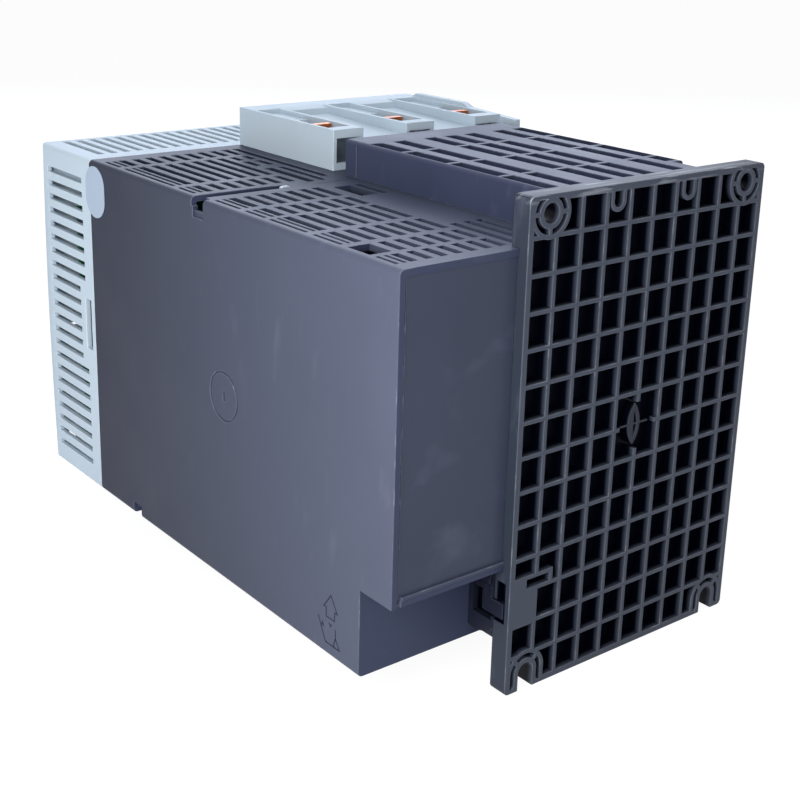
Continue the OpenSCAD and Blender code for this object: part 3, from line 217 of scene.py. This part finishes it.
# painted shade: the white paper is drawn in a darker blue grey
sealPaper = mouldedPlastic("white paper seal, painted shade", {**lightLook, "colour": "#a5b4c6", "shade": "#9caabd",
                                                "worn": "#b7c4d4", "rub": 0.25, "roughness": 0.6, "bump": 0.05})
rolledCopper = workedMetal("rolled copper, handled", {"colour": "#d9824f", "tarnish": "#b1633a", "lines": (1, 1, 12),
                                                      "lineMm": 2.0, "patchMm": 6, "roughness": 0.36, "bump": 0.15})
darkZinc = workedMetal("zinc-plated steel, dark", {"colour": "#9a9fa4", "tarnish": "#7b8187", "lines": (1, 8, 1),
                                                   "lineMm": 2.0, "patchMm": 5, "roughness": 0.42, "bump": 0.15})
brightZinc = workedMetal("zinc-plated steel, bright", {"colour": "#b4b8bb", "tarnish": "#9a9fa3", "lines": (1, 8, 1),
                                                       "lineMm": 1.5, "patchMm": 4, "roughness": 0.3, "bump": 0.1})
extrudedAluminium = workedMetal("extruded aluminium", {"colour": "#c4c7ca", "tarnish": "#aeb2b6", "lines": (8, 8, 1),
                                                       "lineMm": 2.5, "patchMm": 18, "roughness": 0.38, "bump": 0.15})
turnedBrass = workedMetal("turned brass", {"colour": "#c9a24f", "tarnish": "#a5823a", "lines": (1, 8, 1),
                                           "lineMm": 1.5, "patchMm": 5, "roughness": 0.3, "bump": 0.1})
coreSteel = workedMetal("varnished core laminations", {"colour": "#5d5146", "tarnish": "#453c34", "lines": (1, 1, 30),
                                                       "lineMm": 8.0, "patchMm": 12, "roughness": 0.45, "bump": 0.4})
solderMask = mouldedPlastic("glass-epoxy board, green mask",
                            {**darkLook, "colour": "#1f5a3c", "shade": "#194a31", "worn": "#3d7d5b",
                             "roughness": 0.3, "bump": 0.03})
displayGlass = mouldedPlastic("liquid crystal display, switched off",
                              {**darkLook, "colour": "#7f8a76", "shade": "#78836f", "worn": "#8c9783",
                               "roughness": 0.2, "bump": 0.0})
windowClear = clearPlastic("clear polycarbonate window", {"colour": "#dfe8e6", "hazeMm": 12, "clear": 0.9})
print("materials made:", len(bpy.data.materials))


# CAD nodes that keep their shape and get their real finish, save the seal, whose paper is drawn darker in painted
# shade
nodeFinish = {
    "window_pane": windowClear, "display_module": displayGlass, "keypad_board": solderMask,
    "control_board": solderMask, "power_board": solderMask, "plug_screws": brightZinc, "cover_screws": brightZinc,
    "heat_sink": extrudedAluminium, "board_posts": turnedBrass, "control_transformer": coreSteel,
    "seal_disc": sealPaper, "fan_frame": blackPbt, "fan_rotor": blackPbt,
}
for k in (1, 2, 3):
    for side in ("line", "load"):
        nodeFinish[f"{side}_bar_{k}"] = rolledCopper
        nodeFinish[f"{side}_cage_{k}"] = darkZinc
    for part in ("thyristor", "bypass_relay", "current_sensor"):
        nodeFinish[f"{part}_{k}"] = blackPbt
for name, material in nodeFinish.items():
    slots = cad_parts[name].data.materials
    slots.clear()
    slots.append(material)
print("node finishes set:", len(nodeFinish))


def pieceFrom(shape, name, materials):
    mesh = bpy.data.meshes.new(name)
    shape.to_mesh(mesh)
    shape.free()
    for material in materials:
        mesh.materials.append(material)
    piece = bpy.data.objects.new(name, mesh)
    scene.collection.objects.link(piece)
    return piece


def asMesh(piece):
    evaluated = piece.evaluated_get(bpy.context.evaluated_depsgraph_get())
    made = bpy.data.meshes.new_from_object(evaluated)
    piece.modifiers.clear()
    piece.data = made
    return piece


flatDeg = 0.6  # faces that turn less than this count as one flat


# A corner's normal leans to the largest flat it touches, so that flats stay flat beside roundings.
def settleNormals(mesh, creaseDeg):
    shape = bmesh.new()
    shape.from_mesh(mesh)
    shape.faces.ensure_lookup_table()
    flatCos, creaseCos = math.cos(math.radians(flatDeg)), math.cos(math.radians(creaseDeg))
    region = [-1] * len(shape.faces)
    areas = []
    for first in shape.faces:
        if region[first.index] >= 0:
            continue
        region[first.index] = len(areas)
        area, waiting = 0.0, [first]
        while waiting:
            face = waiting.pop()
            area += face.calc_area()
            for edge in face.edges:
                for near in edge.link_faces:
                    if region[near.index] < 0 and face.normal.dot(near.normal) > flatCos:
                        region[near.index] = len(areas)
                        waiting.append(near)
        areas.append(area)
    normals = [None] * len(mesh.loops)
    for corner in shape.verts:
        left = list(corner.link_faces)
        while left:
            group, waiting = [], [left.pop()]
            while waiting:
                face = waiting.pop()
                group.append(face)
                for edge in face.edges:
                    if corner in edge.verts and len(edge.link_faces) == 2:
                        for near in edge.link_faces:
                            if near in left and face.normal.dot(near.normal) > creaseCos:
                                left.remove(near)
                                waiting.append(near)
            total = Vector((0, 0, 0))
            for number, face in {region[face.index]: face for face in group}.items():
                total += face.normal * areas[number]
            total.normalize()
            for face in group:
                for loop in face.loops:
                    if loop.vert == corner:
                        normals[loop.index] = total
    shape.free()
    mesh.normals_split_custom_set(normals)


# Parts of a moulding drawn in a darker copy of its plastic, as painted shade: faces towards the rear, the recess
# beside the latch and the plate's rim; each test gets a face's middle in mm and its normal
zoneLimits = {"rearLean": 0.9, "latchFrontMm": -21.6, "latchTopMm": 49, "latchSidesMm": (36, 60.2),
              "rimSideMm": 59.5, "rimHeightsMm": (0.5, 183.5)}


def facesRear(middle, normal):
    return normal.y > zoneLimits["rearLean"]


def besideLatch(middle, normal):
    left, right = zoneLimits["latchSidesMm"]
    return middle.y > zoneLimits["latchFrontMm"] and middle.z < zoneLimits["latchTopMm"] and left < middle.x < right


def onPlateRim(middle, normal):
    low, high = zoneLimits["rimHeightsMm"]
    return abs(middle.x) > zoneLimits["rimSideMm"] or not low < middle.z < high


# Moulded pieces: the CAD shape with its outer edges rounded as the mould leaves them
softPieces = {
    "base_plate": {"piece": "mountingPlate", "body": "case", "slot": "dark_plastic", "edgeMm": 0.3,
                   "finish": (plateAbs, plateEdge, plateRim), "zones": ((2, onPlateRim),)},
    "main_housing": {"piece": "darkHousing", "body": "case", "slot": "dark_plastic", "edgeMm": 0.3,
                     "finish": (housingAbs, darkEdge, darkAbs, shadedAbs),
                     "zones": ((2, facesRear), (3, besideLatch))},
    "rear_panel": {"piece": "rearPanel", "body": "case", "slot": "panel_plastic", "edgeMm": 0.3,
                   "finish": (panelAbs, darkEdge)},
    "air_hood": {"piece": "airHood", "body": "case", "slot": "dark_plastic", "edgeMm": 0.3,
                 "finish": (darkAbs, darkEdge)},
    "fan_tray": {"piece": "fanTray", "body": "case", "slot": "dark_plastic", "edgeMm": 0.3,
                 "finish": (darkAbs, darkEdge)},
    "front_cover": {"piece": "frontCover", "body": "case", "slot": "light_plastic", "edgeMm": 0.3,
                    "finish": (lightAbs, lightEdge)},
    "control_flap": {"piece": "controlFlap", "body": "control_flap", "slot": "light_plastic", "edgeMm": 0.25,
                     "finish": (lightAbs, lightEdge)},
    "upper_terminal_block": {"piece": "upperBlock", "body": "case", "slot": "light_plastic", "edgeMm": 0.25,
                             "finish": (lightAbs, lightEdge)},
    "lower_terminal_block": {"piece": "lowerBlock", "body": "case", "slot": "light_plastic", "edgeMm": 0.25,
                             "finish": (lightAbs, lightEdge)},
    "operator_panel": {"piece": "operatorPanel", "body": "case", "slot": "panel_plastic", "edgeMm": 0.3,
                       "finish": (panelAbs, darkEdge)},
    "terminal_plug_upper": {"piece": "plugUpper", "body": "case", "slot": "plug_plastic", "edgeMm": 0.2,
                            "finish": (greenPlug, greenPlug)},
    "terminal_plug_lower": {"piece": "plugLower", "body": "case", "slot": "plug_plastic", "edgeMm": 0.2,
                            "finish": (greenPlug, greenPlug)},
    "plate_latch": {"piece": "plateLatch", "body": "plate_latch", "slot": "dark_plastic", "edgeMm": 0.2,
                    "finish": (shadedAbs, plateRim)},
}
keys = ("key_up", "key_down", "key_back", "key_enter")
for key in keys:
    softPieces[key] = {"piece": "cap_" + key, "body": key, "slot": "key_rubber", "edgeMm": 0.4,
                       "finish": (keyRubber, keyRubber)}


# How the roundings are made: what is welded and joined first, which edges turn enough, and when a flat is torn
rounding = {"weldMm": 0.002, "joinDeg": 0.2, "edgeDeg": 32, "segments": 2, "creaseDeg": 50,
            "tornShare": 1.01, "tornMm2": 0.1}


# Flats that the rounding would tear: their drawn triangles cover more than the flat itself
def tornFlats(mesh):
    mesh.calc_loop_triangles()
    drawn = [0.0] * len(mesh.polygons)
    for triangle in mesh.loop_triangles:
        drawn[triangle.polygon_index] += triangle.area
    flat = mesh.attributes["flat"].data
    spare = rounding["tornMm2"] * mm ** 2
    return {flat[face.index].value for face in mesh.polygons
            if drawn[face.index] > rounding["tornShare"] * face.area + spare}


def roundedPiece(node, row, crisp):
    shape = bmesh.new()
    shape.from_mesh(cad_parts[node].data)
    bmesh.ops.remove_doubles(shape, verts=shape.verts, dist=rounding["weldMm"] * mm)
    bmesh.ops.dissolve_limit(shape, angle_limit=math.radians(rounding["joinDeg"]), use_dissolve_boundaries=False,
                             verts=shape.verts, edges=shape.edges)
    shape.faces.index_update()
    flat = shape.faces.layers.int.new("flat")
    weight = shape.edges.layers.float.new("bevel_weight_edge")
    for edge in shape.edges:  # only outer edges are rounded: inner corners stay crisp
        if len(edge.link_faces) == 2 and edge.calc_face_angle_signed(0.0) > math.radians(rounding["edgeDeg"]):
            edge[weight] = 0.0 if any(face.index in crisp for face in edge.link_faces) else 1.0
    for face in shape.faces:
        face[flat] = face.index
        face.smooth = True
        for index, inZone in row.get("zones", ()):
            if inZone(face.calc_center_median() / mm, face.normal):
                face.material_index = index
    piece = pieceFrom(shape, row["piece"], row["finish"])
    edge = piece.modifiers.new("mouldEdge", "BEVEL")
    edge.width = row["edgeMm"] * mm
    edge.segments = rounding["segments"]
    edge.limit_method = "WEIGHT"
    edge.use_clamp_overlap = False
    edge.loop_slide = False  # sliding along a long flat edge throws spikes
    edge.material = 1  # the second finish goes on the rounded edges: painted highlight, with rubs on the dark ones
    return asMesh(piece)


# A flat that comes out torn keeps its edges sharp in the next try
def softenNode(node, row):
    crisp = set()
    piece = roundedPiece(node, row, crisp)
    while tornFlats(piece.data) - crisp:
        crisp |= tornFlats(piece.data)
        bpy.data.objects.remove(piece)
        piece = roundedPiece(node, row, crisp)
    piece.data.attributes.remove(piece.data.attributes["flat"])
    settleNormals(piece.data, rounding["creaseDeg"])
    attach(piece, row["body"])
    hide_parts(node)
    return piece


for node, row in softPieces.items():
    piece = softenNode(node, row)
    print("edges rounded:", row["piece"], len(piece.data.polygons), "faces")


def finishPiece(piece, body):
    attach(piece, body)
    return piece


# The cover's front corners: a quarter ellipse that follows the bulge of the front and closes a slit in the CAD cover
coverCorner = {"bulgeMm": 4.0, "edgeMm": 4.0, "endMm": 2.5, "turnSteps": 8, "riseSteps": 30, "creaseDeg": 40}


def coverCornerPiece(name, side):
    lo, hi = (Vector(corner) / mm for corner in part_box("front_cover"))
    row = coverCorner
    bulge, edge = row["bulgeMm"], row["edgeMm"]
    height, middle = hi.z - lo.z, (hi.z + lo.z) / 2
    radius = (height ** 2 / 4 + bulge ** 2) / (2 * bulge)
    centre = Vector((lo.x + edge if side < 0 else hi.x - edge, lo.y + bulge + edge, 0))
    shape = bmesh.new()
    rings = []
    for i in range(row["riseSteps"] + 1):
        z = lo.z + row["endMm"] + (height - 2 * row["endMm"]) * i / row["riseSteps"]
        depth = centre.y - (lo.y + radius - math.sqrt(radius ** 2 - (z - middle) ** 2))
        ring = [centre + Vector((0, 0, z))]
        for k in range(row["turnSteps"] + 1):
            turn = math.radians(90) * k / row["turnSteps"]
            ring.append(centre + Vector((side * edge * math.cos(turn), -depth * math.sin(turn), z)))
        rings.append([shape.verts.new(point * mm) for point in ring])
    count = len(rings[0])
    for below, above in zip(rings, rings[1:]):
        for k in range(count):
            shape.faces.new((below[k], below[(k + 1) % count], above[(k + 1) % count], above[k]))
    for ring in (rings[0], rings[-1]):
        shape.faces.new(ring)
    for face in shape.faces:
        face.smooth = len(face.verts) == 4
    bmesh.ops.recalc_face_normals(shape, faces=shape.faces)
    piece = pieceFrom(shape, name, [lightAbs])
    settleNormals(piece.data, row["creaseDeg"])
    return finishPiece(piece, "case")


coverCornerPiece("coverCornerLeft", -1)
coverCornerPiece("coverCornerRight", 1)
print("cover corners made")


# A line of even width on a face: four points to each corner, mitred. toPlace turns across, up and out into metres.
ribbon = {"sinkMm": 0.1, "mitreLimit": 0.4}


def addRibbon(shape, points, closed, widthMm, raiseMm, toPlace):
    corners = [Vector(point) for point in points]
    count = len(corners)
    rings = []
    for i, here in enumerate(corners):
        hasBefore, hasAfter = closed or i > 0, closed or i < count - 1
        into = (here - corners[i - 1]).normalized() if hasBefore else (corners[i + 1] - here).normalized()
        out = (corners[(i + 1) % count] - here).normalized() if hasAfter else into
        along = (into + out).normalized()
        side = Vector((-along.y, along.x)) * widthMm / 2 / max(along.dot(into), ribbon["mitreLimit"])
        low = -ribbon["sinkMm"]
        rings.append([shape.verts.new(toPlace(here + sign * side, level))
                      for sign, level in ((1, low), (-1, low), (-1, raiseMm), (1, raiseMm))])
    for i in range(count if closed else count - 1):
        first, second = rings[i], rings[(i + 1) % count]
        for k in range(4):
            shape.faces.new((first[k], first[(k + 1) % 4], second[(k + 1) % 4], second[k]))
    if not closed:
        shape.faces.new(rings[0])
        shape.faces.new(rings[-1])


def ribbonPiece(name, lines, widthMm, raiseMm, toPlace, material, body):
    shape = bmesh.new()
    for points, closed in lines:
        addRibbon(shape, points, closed, widthMm, raiseMm, toPlace)
    bmesh.ops.recalc_face_normals(shape, faces=shape.faces)
    return finishPiece(pieceFrom(shape, name, [material]), body)


# Sign for the fan tray on the control side, an arrow over a tray, its sunk lines drawn dark as painted shade; (y, z)
# in mm
releaseSign = {
    "widthMm": 0.55, "raiseMm": 0.03,
    "arrow": ((-38.2, 39.7), (-34.2, 33.9), (-35.8, 33.9), (-36.0, 30.5), (-41.0, 30.5), (-40.9, 34.1),
              (-42.4, 34.1)),
    "tray": ((-45.8, 29.0), (-41.4, 20.2), (-32.7, 20.2), (-35.2, 23.9), (-35.4, 27.4)),
    "latch": ((-43.9, 25.4), (-43.2, 27.3), (-42.5, 25.8)),
    "fold": ((-36.5, 20.3), (-35.2, 23.9)),
    "point": ((-39.3, 28.5), (-38.3, 27.4), (-37.6, 28.6)),
}
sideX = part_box("main_housing")[1][0]
ribbonPiece("releaseSign", [(releaseSign["arrow"], True)] + [
    (releaseSign[key], False) for key in ("tray", "latch", "fold", "point")],
            releaseSign["widthMm"], releaseSign["raiseMm"],
            lambda flat, level: Vector((sideX + level * mm, flat.x * mm, flat.y * mm)),
            markShade, "case")

# Printed symbols on the keys, drawn about each key's middle; (x, z) in mm
keySigns = {
    "widthMm": 0.6, "raiseMm": 0.04,
    "key_up": [((-1.7, -0.8), (0, 1.0), (1.7, -0.8))],
    "key_down": [((-1.7, 0.8), (0, -1.0), (1.7, 0.8))],
    "key_back": [((1.9, 0), (-1.7, 0)), ((-0.6, 1.2), (-1.8, 0), (-0.6, -1.2))],
    "key_enter": [((1.9, 1.3), (1.9, -0.4), (-1.7, -0.4)), ((-0.6, 0.8), (-1.8, -0.4), (-0.6, -1.6))],
}


def keySign(key):
    lo, hi = (Vector(corner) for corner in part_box(key))
    middle = (lo + hi) / 2
    ribbonPiece("sign_" + key, [(points, False) for points in keySigns[key]],
                keySigns["widthMm"], keySigns["raiseMm"],
                lambda flat, level: Vector((middle.x + flat.x * mm, lo.y - level * mm, middle.z + flat.y * mm)),
                symbolInk, key)


for key in keys:
    keySign(key)
print("signs drawn")

# Painted highlight: a small pale block in the light plastic at the groove's rounded end, standing in for the glint
# there
grooveGlintBlock = {"startMm": (68.6, -128.2, 164.4), "lengthMm": 3.8, "widthMm": 1.7,
             "profile": ((0, 0), (1, 0), (1, 1.5), (0.82, 2.0), (0.18, 2.0), (0, 1.5))}


def grooveGlintBlockPiece():
    row = grooveGlintBlock
    start = Vector(row["startMm"])
    shape = bmesh.new()
    sides = [[shape.verts.new((start + Vector((share * row["lengthMm"], y, rise))) * mm)
              for share, rise in row["profile"]] for y in (0, row["widthMm"])]
    count = len(row["profile"])
    for k in range(count):
        shape.faces.new((sides[0][k], sides[0][(k + 1) % count], sides[1][(k + 1) % count], sides[1][k]))
    for side in sides:
        shape.faces.new(side)
    bmesh.ops.recalc_face_normals(shape, faces=shape.faces)
    return finishPiece(pieceFrom(shape, "grooveGlintBlock", [lightEdge]), "case")


grooveGlintBlockPiece()


# A node tree with named inputs; values are set by each socket's identifier before the first evaluation
def newShapeTree(name, inputs):
    tree = bpy.data.node_groups.new(name, "GeometryNodeTree")
    tree.interface.new_socket("Geometry", in_out="INPUT", socket_type="NodeSocketGeometry")
    tree.interface.new_socket("Geometry", in_out="OUTPUT", socket_type="NodeSocketGeometry")
    for label, kind in inputs.items():
        tree.interface.new_socket(label, in_out="INPUT", socket_type="NodeSocket" + kind)
    return tree, addNode(tree, "NodeGroupInput").outputs


# Clamp screw along its own Z: threaded shank, round head with a hexagon socket.
# headMm is the head's length, socketMm and shankMm are outer radii
clampScrew = {"headMm": 4.7, "socketMm": 3.0, "socketDepthMm": 3.0, "shankMm": 4.0, "toothMm": 0.55, "pitchMm": 1.25,
              "threadedShare": 0.94, "headSides": 48, "coreSides": 32, "stepsPerTurn": 24}


def clampScrewTree():
    tree, given = newShapeTree("clampScrew", {
        "Head Radius": "Float", "Head Length": "Float", "Socket Radius": "Float", "Socket Depth": "Float",
        "Core Radius": "Float", "Shank Length": "Float", "Thread Depth": "Float", "Turns": "Float",
        "Place": "Vector", "Turn": "Rotation", "Finish": "Material"})

    def scaled(value, factor, more=0.0):
        return addNode(tree, "ShaderNodeMath", {0: value, 1: factor, 2: more}, operation="MULTIPLY_ADD").outputs[0]

    def along(shape, height):
        rise = addNode(tree, "ShaderNodeCombineXYZ", {"Z": height}).outputs[0]
        return addNode(tree, "GeometryNodeTransform", {"Geometry": shape, "Translation": rise}).outputs[0]

    head = addNode(tree, "GeometryNodeMeshCylinder",
                   {"Vertices": clampScrew["headSides"], "Radius": given["Head Radius"],
                    "Depth": given["Head Length"]}).outputs["Mesh"]
    socket = addNode(tree, "GeometryNodeMeshCylinder",
                     {"Vertices": 6, "Radius": given["Socket Radius"],
                      "Depth": scaled(given["Socket Depth"], 2.0)}).outputs["Mesh"]
    drilled = addNode(tree, "GeometryNodeMeshBoolean",
                      {"Mesh 1": along(head, scaled(given["Head Length"], 0.5)), "Mesh 2": socket},
                      operation="DIFFERENCE").outputs["Mesh"]
    shankMiddle = addNode(tree, "ShaderNodeMath",
                          {0: given["Shank Length"], 1: 0.5, 2: given["Head Length"]}, operation="MULTIPLY_ADD")
    core = addNode(tree, "GeometryNodeMeshCylinder",
                   {"Vertices": clampScrew["coreSides"], "Radius": given["Core Radius"],
                    "Depth": given["Shank Length"]}).outputs["Mesh"]
    helix = addNode(tree, "GeometryNodeCurveSpiral",
                    {"Resolution": clampScrew["stepsPerTurn"], "Rotations": given["Turns"],
                     "Start Radius": given["Core Radius"], "End Radius": given["Core Radius"],
                     "Height": scaled(given["Shank Length"], clampScrew["threadedShare"])}).outputs[0]
    tooth = addNode(tree, "GeometryNodeCurvePrimitiveCircle",
                    {"Resolution": 4, "Radius": given["Thread Depth"]}).outputs["Curve"]
    thread = addNode(tree, "GeometryNodeCurveToMesh",
                     {"Curve": helix, "Profile Curve": tooth, "Fill Caps": True}).outputs[0]
    joined = addNode(tree, "GeometryNodeJoinGeometry")
    for part in (along(thread, given["Head Length"]), along(core, shankMiddle.outputs[0]), drilled):
        tree.links.new(part, joined.inputs[0])
    placed = addNode(tree, "GeometryNodeTransform",
                     {"Geometry": joined.outputs[0], "Translation": given["Place"], "Rotation": given["Turn"]})
    real = addNode(tree, "GeometryNodeRealizeInstances", {"Geometry": placed.outputs[0]})
    faced = addNode(tree, "GeometryNodeSetMaterial", {"Geometry": real.outputs[0], "Material": given["Finish"]})
    addNode(tree, "NodeGroupOutput", {"Geometry": faced.outputs[0]})
    return tree


screwTree = clampScrewTree()


def clampScrewPiece(node):
    lo, hi = (Vector(corner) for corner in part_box(node))
    row = clampScrew
    shankLength = hi.y - lo.y - row["headMm"] * mm
    mesh = bpy.data.meshes.new("threaded_" + node)
    piece = bpy.data.objects.new("threaded_" + node, mesh)
    scene.collection.objects.link(piece)
    made = piece.modifiers.new("clampScrew", "NODES")
    made.node_group = screwTree
    values = {"Head Radius": (hi.x - lo.x) / 2, "Head Length": row["headMm"] * mm,
              "Socket Radius": row["socketMm"] * mm, "Socket Depth": row["socketDepthMm"] * mm,
              "Core Radius": (row["shankMm"] - row["toothMm"]) * mm,
              "Shank Length": shankLength, "Thread Depth": row["toothMm"] * mm,
              "Turns": shankLength * row["threadedShare"] / (row["pitchMm"] * mm),
              "Place": ((lo.x + hi.x) / 2, lo.y, (lo.z + hi.z) / 2), "Turn": (math.radians(-90), 0, 0),
              "Finish": brightZinc}
    for socket in screwTree.interface.items_tree:
        if socket.name in values:
            made[socket.identifier] = values[socket.name]
    asMesh(piece)
    shape = bmesh.new()
    shape.from_mesh(piece.data)
    bmesh.ops.recalc_face_normals(shape, faces=shape.faces)
    shape.to_mesh(piece.data)
    shape.free()
    finishPiece(piece, node)
    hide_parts(node)
    return piece


for side in ("line", "load"):
    for k in (1, 2, 3):
        piece = clampScrewPiece(f"{side}_screw_{k}")
print("clamp screws made:", len(piece.data.polygons), "faces each")


# camera near the photograph's place: focal length in pixels of the image's width, angles in degrees
camera = {"focalPx": 1384.0, "imagePx": 800, "sensorMm": 36.0, "azimuth": 141.473, "elevation": 17.039, "roll": 1.51,
          "placeMm": (365.319, 317.353, 275.829), "shift": (0.0, -0.1), "clip": (0.01, 100)}
lens = bpy.data.cameras.new("photoCamera")
lens.sensor_width = camera["sensorMm"]
lens.lens = camera["focalPx"] / camera["imagePx"] * camera["sensorMm"]
lens.shift_x, lens.shift_y = camera["shift"]
lens.clip_start, lens.clip_end = camera["clip"]
azimuth, elevation, roll = (math.radians(camera[key]) for key in ("azimuth", "elevation", "roll"))
back = Vector((math.sin(azimuth) * math.cos(elevation), -math.cos(azimuth) * math.cos(elevation),
               math.sin(elevation)))
right = Vector((math.cos(azimuth), math.sin(azimuth), 0))
up = back.cross(right)
turnedRight = math.cos(roll) * right + math.sin(roll) * up
turnedUp = math.cos(roll) * up - math.sin(roll) * right
viewer = bpy.data.objects.new("photoCamera", lens)
scene.collection.objects.link(viewer)
viewer.matrix_world = Matrix.Translation(Vector(camera["placeMm"]) * mm) @ Matrix(
    (turnedRight, turnedUp, back)).transposed().to_4x4()
scene.camera = viewer

# studio: pale floor, a small soft lamp beside the control side and three large ones; watts and metres
studio = {"floorSide": 80.0, "floorDropMm": 0.2, "floorColour": "#eef0f2", "aim": (0.02, -0.13, 0.09),
          "ambient": 0.28, "floorGlow": 0.85, "glowLevel": 1.1}
lamps = {
    "besideControlSide": {"place": (0.42, 0.12, 0.24), "side": 0.3, "watts": 2.2},
    "fromAbove": {"place": (0.1, -0.35, 1.1), "side": 1.0, "watts": 4.0},
    "behindTop": {"place": (-0.55, -1.0, 0.75), "side": 1.1, "watts": 8.5, "colour": "#d6e4ff"},
    "rearFill": {"place": (0.2, 1.1, 0.5), "side": 0.9, "watts": 2.5},
}
for name, lamp in lamps.items():
    light = bpy.data.lights.new(name, "AREA")
    light.size = lamp["side"]
    light.energy = lamp["watts"]
    light.color = toLinear(lamp.get("colour", "#ffffff"))[:3]
    holder = bpy.data.objects.new(name, light)
    scene.collection.objects.link(holder)
    holder.location = lamp["place"]
    holder.rotation_euler = (Vector(lamp["place"]) - Vector(studio["aim"])).to_track_quat("Z", "Y").to_euler()


# 1 for rays that show the background: straight to the camera, mirrored, or through glass
def shownRay(tree):
    ray = addNode(tree, "ShaderNodeLightPath")
    seen = addNode(tree, "ShaderNodeMath", {0: ray.outputs["Is Camera Ray"], 1: ray.outputs["Is Glossy Ray"]},
                   operation="MAXIMUM")
    seen = addNode(tree, "ShaderNodeMath", {0: seen.outputs[0], 1: ray.outputs["Is Transmission Ray"]},
                   operation="MAXIMUM")
    return seen.outputs[0]


world = bpy.data.worlds.new("studioWorld")
scene.world = world
world.use_nodes = True
tree = world.node_tree
tree.nodes.clear()
level = addNode(tree, "ShaderNodeMapRange", {"Value": shownRay(tree), "To Min": studio["ambient"], "To Max": 1.0})
glow = addNode(tree, "ShaderNodeBackground", {"Color": (1, 1, 1, 1), "Strength": level.outputs["Result"]})
addNode(tree, "ShaderNodeOutputWorld", {"Surface": glow.outputs["Background"]})

half = studio["floorSide"] / 2
floorMesh = bpy.data.meshes.new("studioFloor")
floorMesh.from_pydata([(-half, -half, 0), (half, -half, 0), (half, half, 0), (-half, half, 0)], [],
                      [(0, 1, 2, 3)])
floor = bpy.data.objects.new("studioFloor", floorMesh)
scene.collection.objects.link(floor)
floor.location.z = -studio["floorDropMm"] * mm
paint = bpy.data.materials.new("studio floor, white")
paint.use_nodes = True
tree = paint.node_tree
tree.nodes.clear()
share = addNode(tree, "ShaderNodeMath", {0: shownRay(tree), 1: studio["floorGlow"]}, operation="MULTIPLY")
matt = addNode(tree, "ShaderNodeBsdfDiffuse", {"Color": toLinear(studio["floorColour"])})
white = addNode(tree, "ShaderNodeEmission", {"Color": (1, 1, 1, 1), "Strength": studio["glowLevel"]})
both = addNode(tree, "ShaderNodeMixShader", {0: share.outputs[0], 1: matt.outputs[0], 2: white.outputs[0]})
addNode(tree, "ShaderNodeOutputMaterial", {"Surface": both.outputs[0]})
floorMesh.materials.append(paint)
scene.view_settings.view_transform = "Standard"
print("studio set")

bpy.context.view_layer.update()
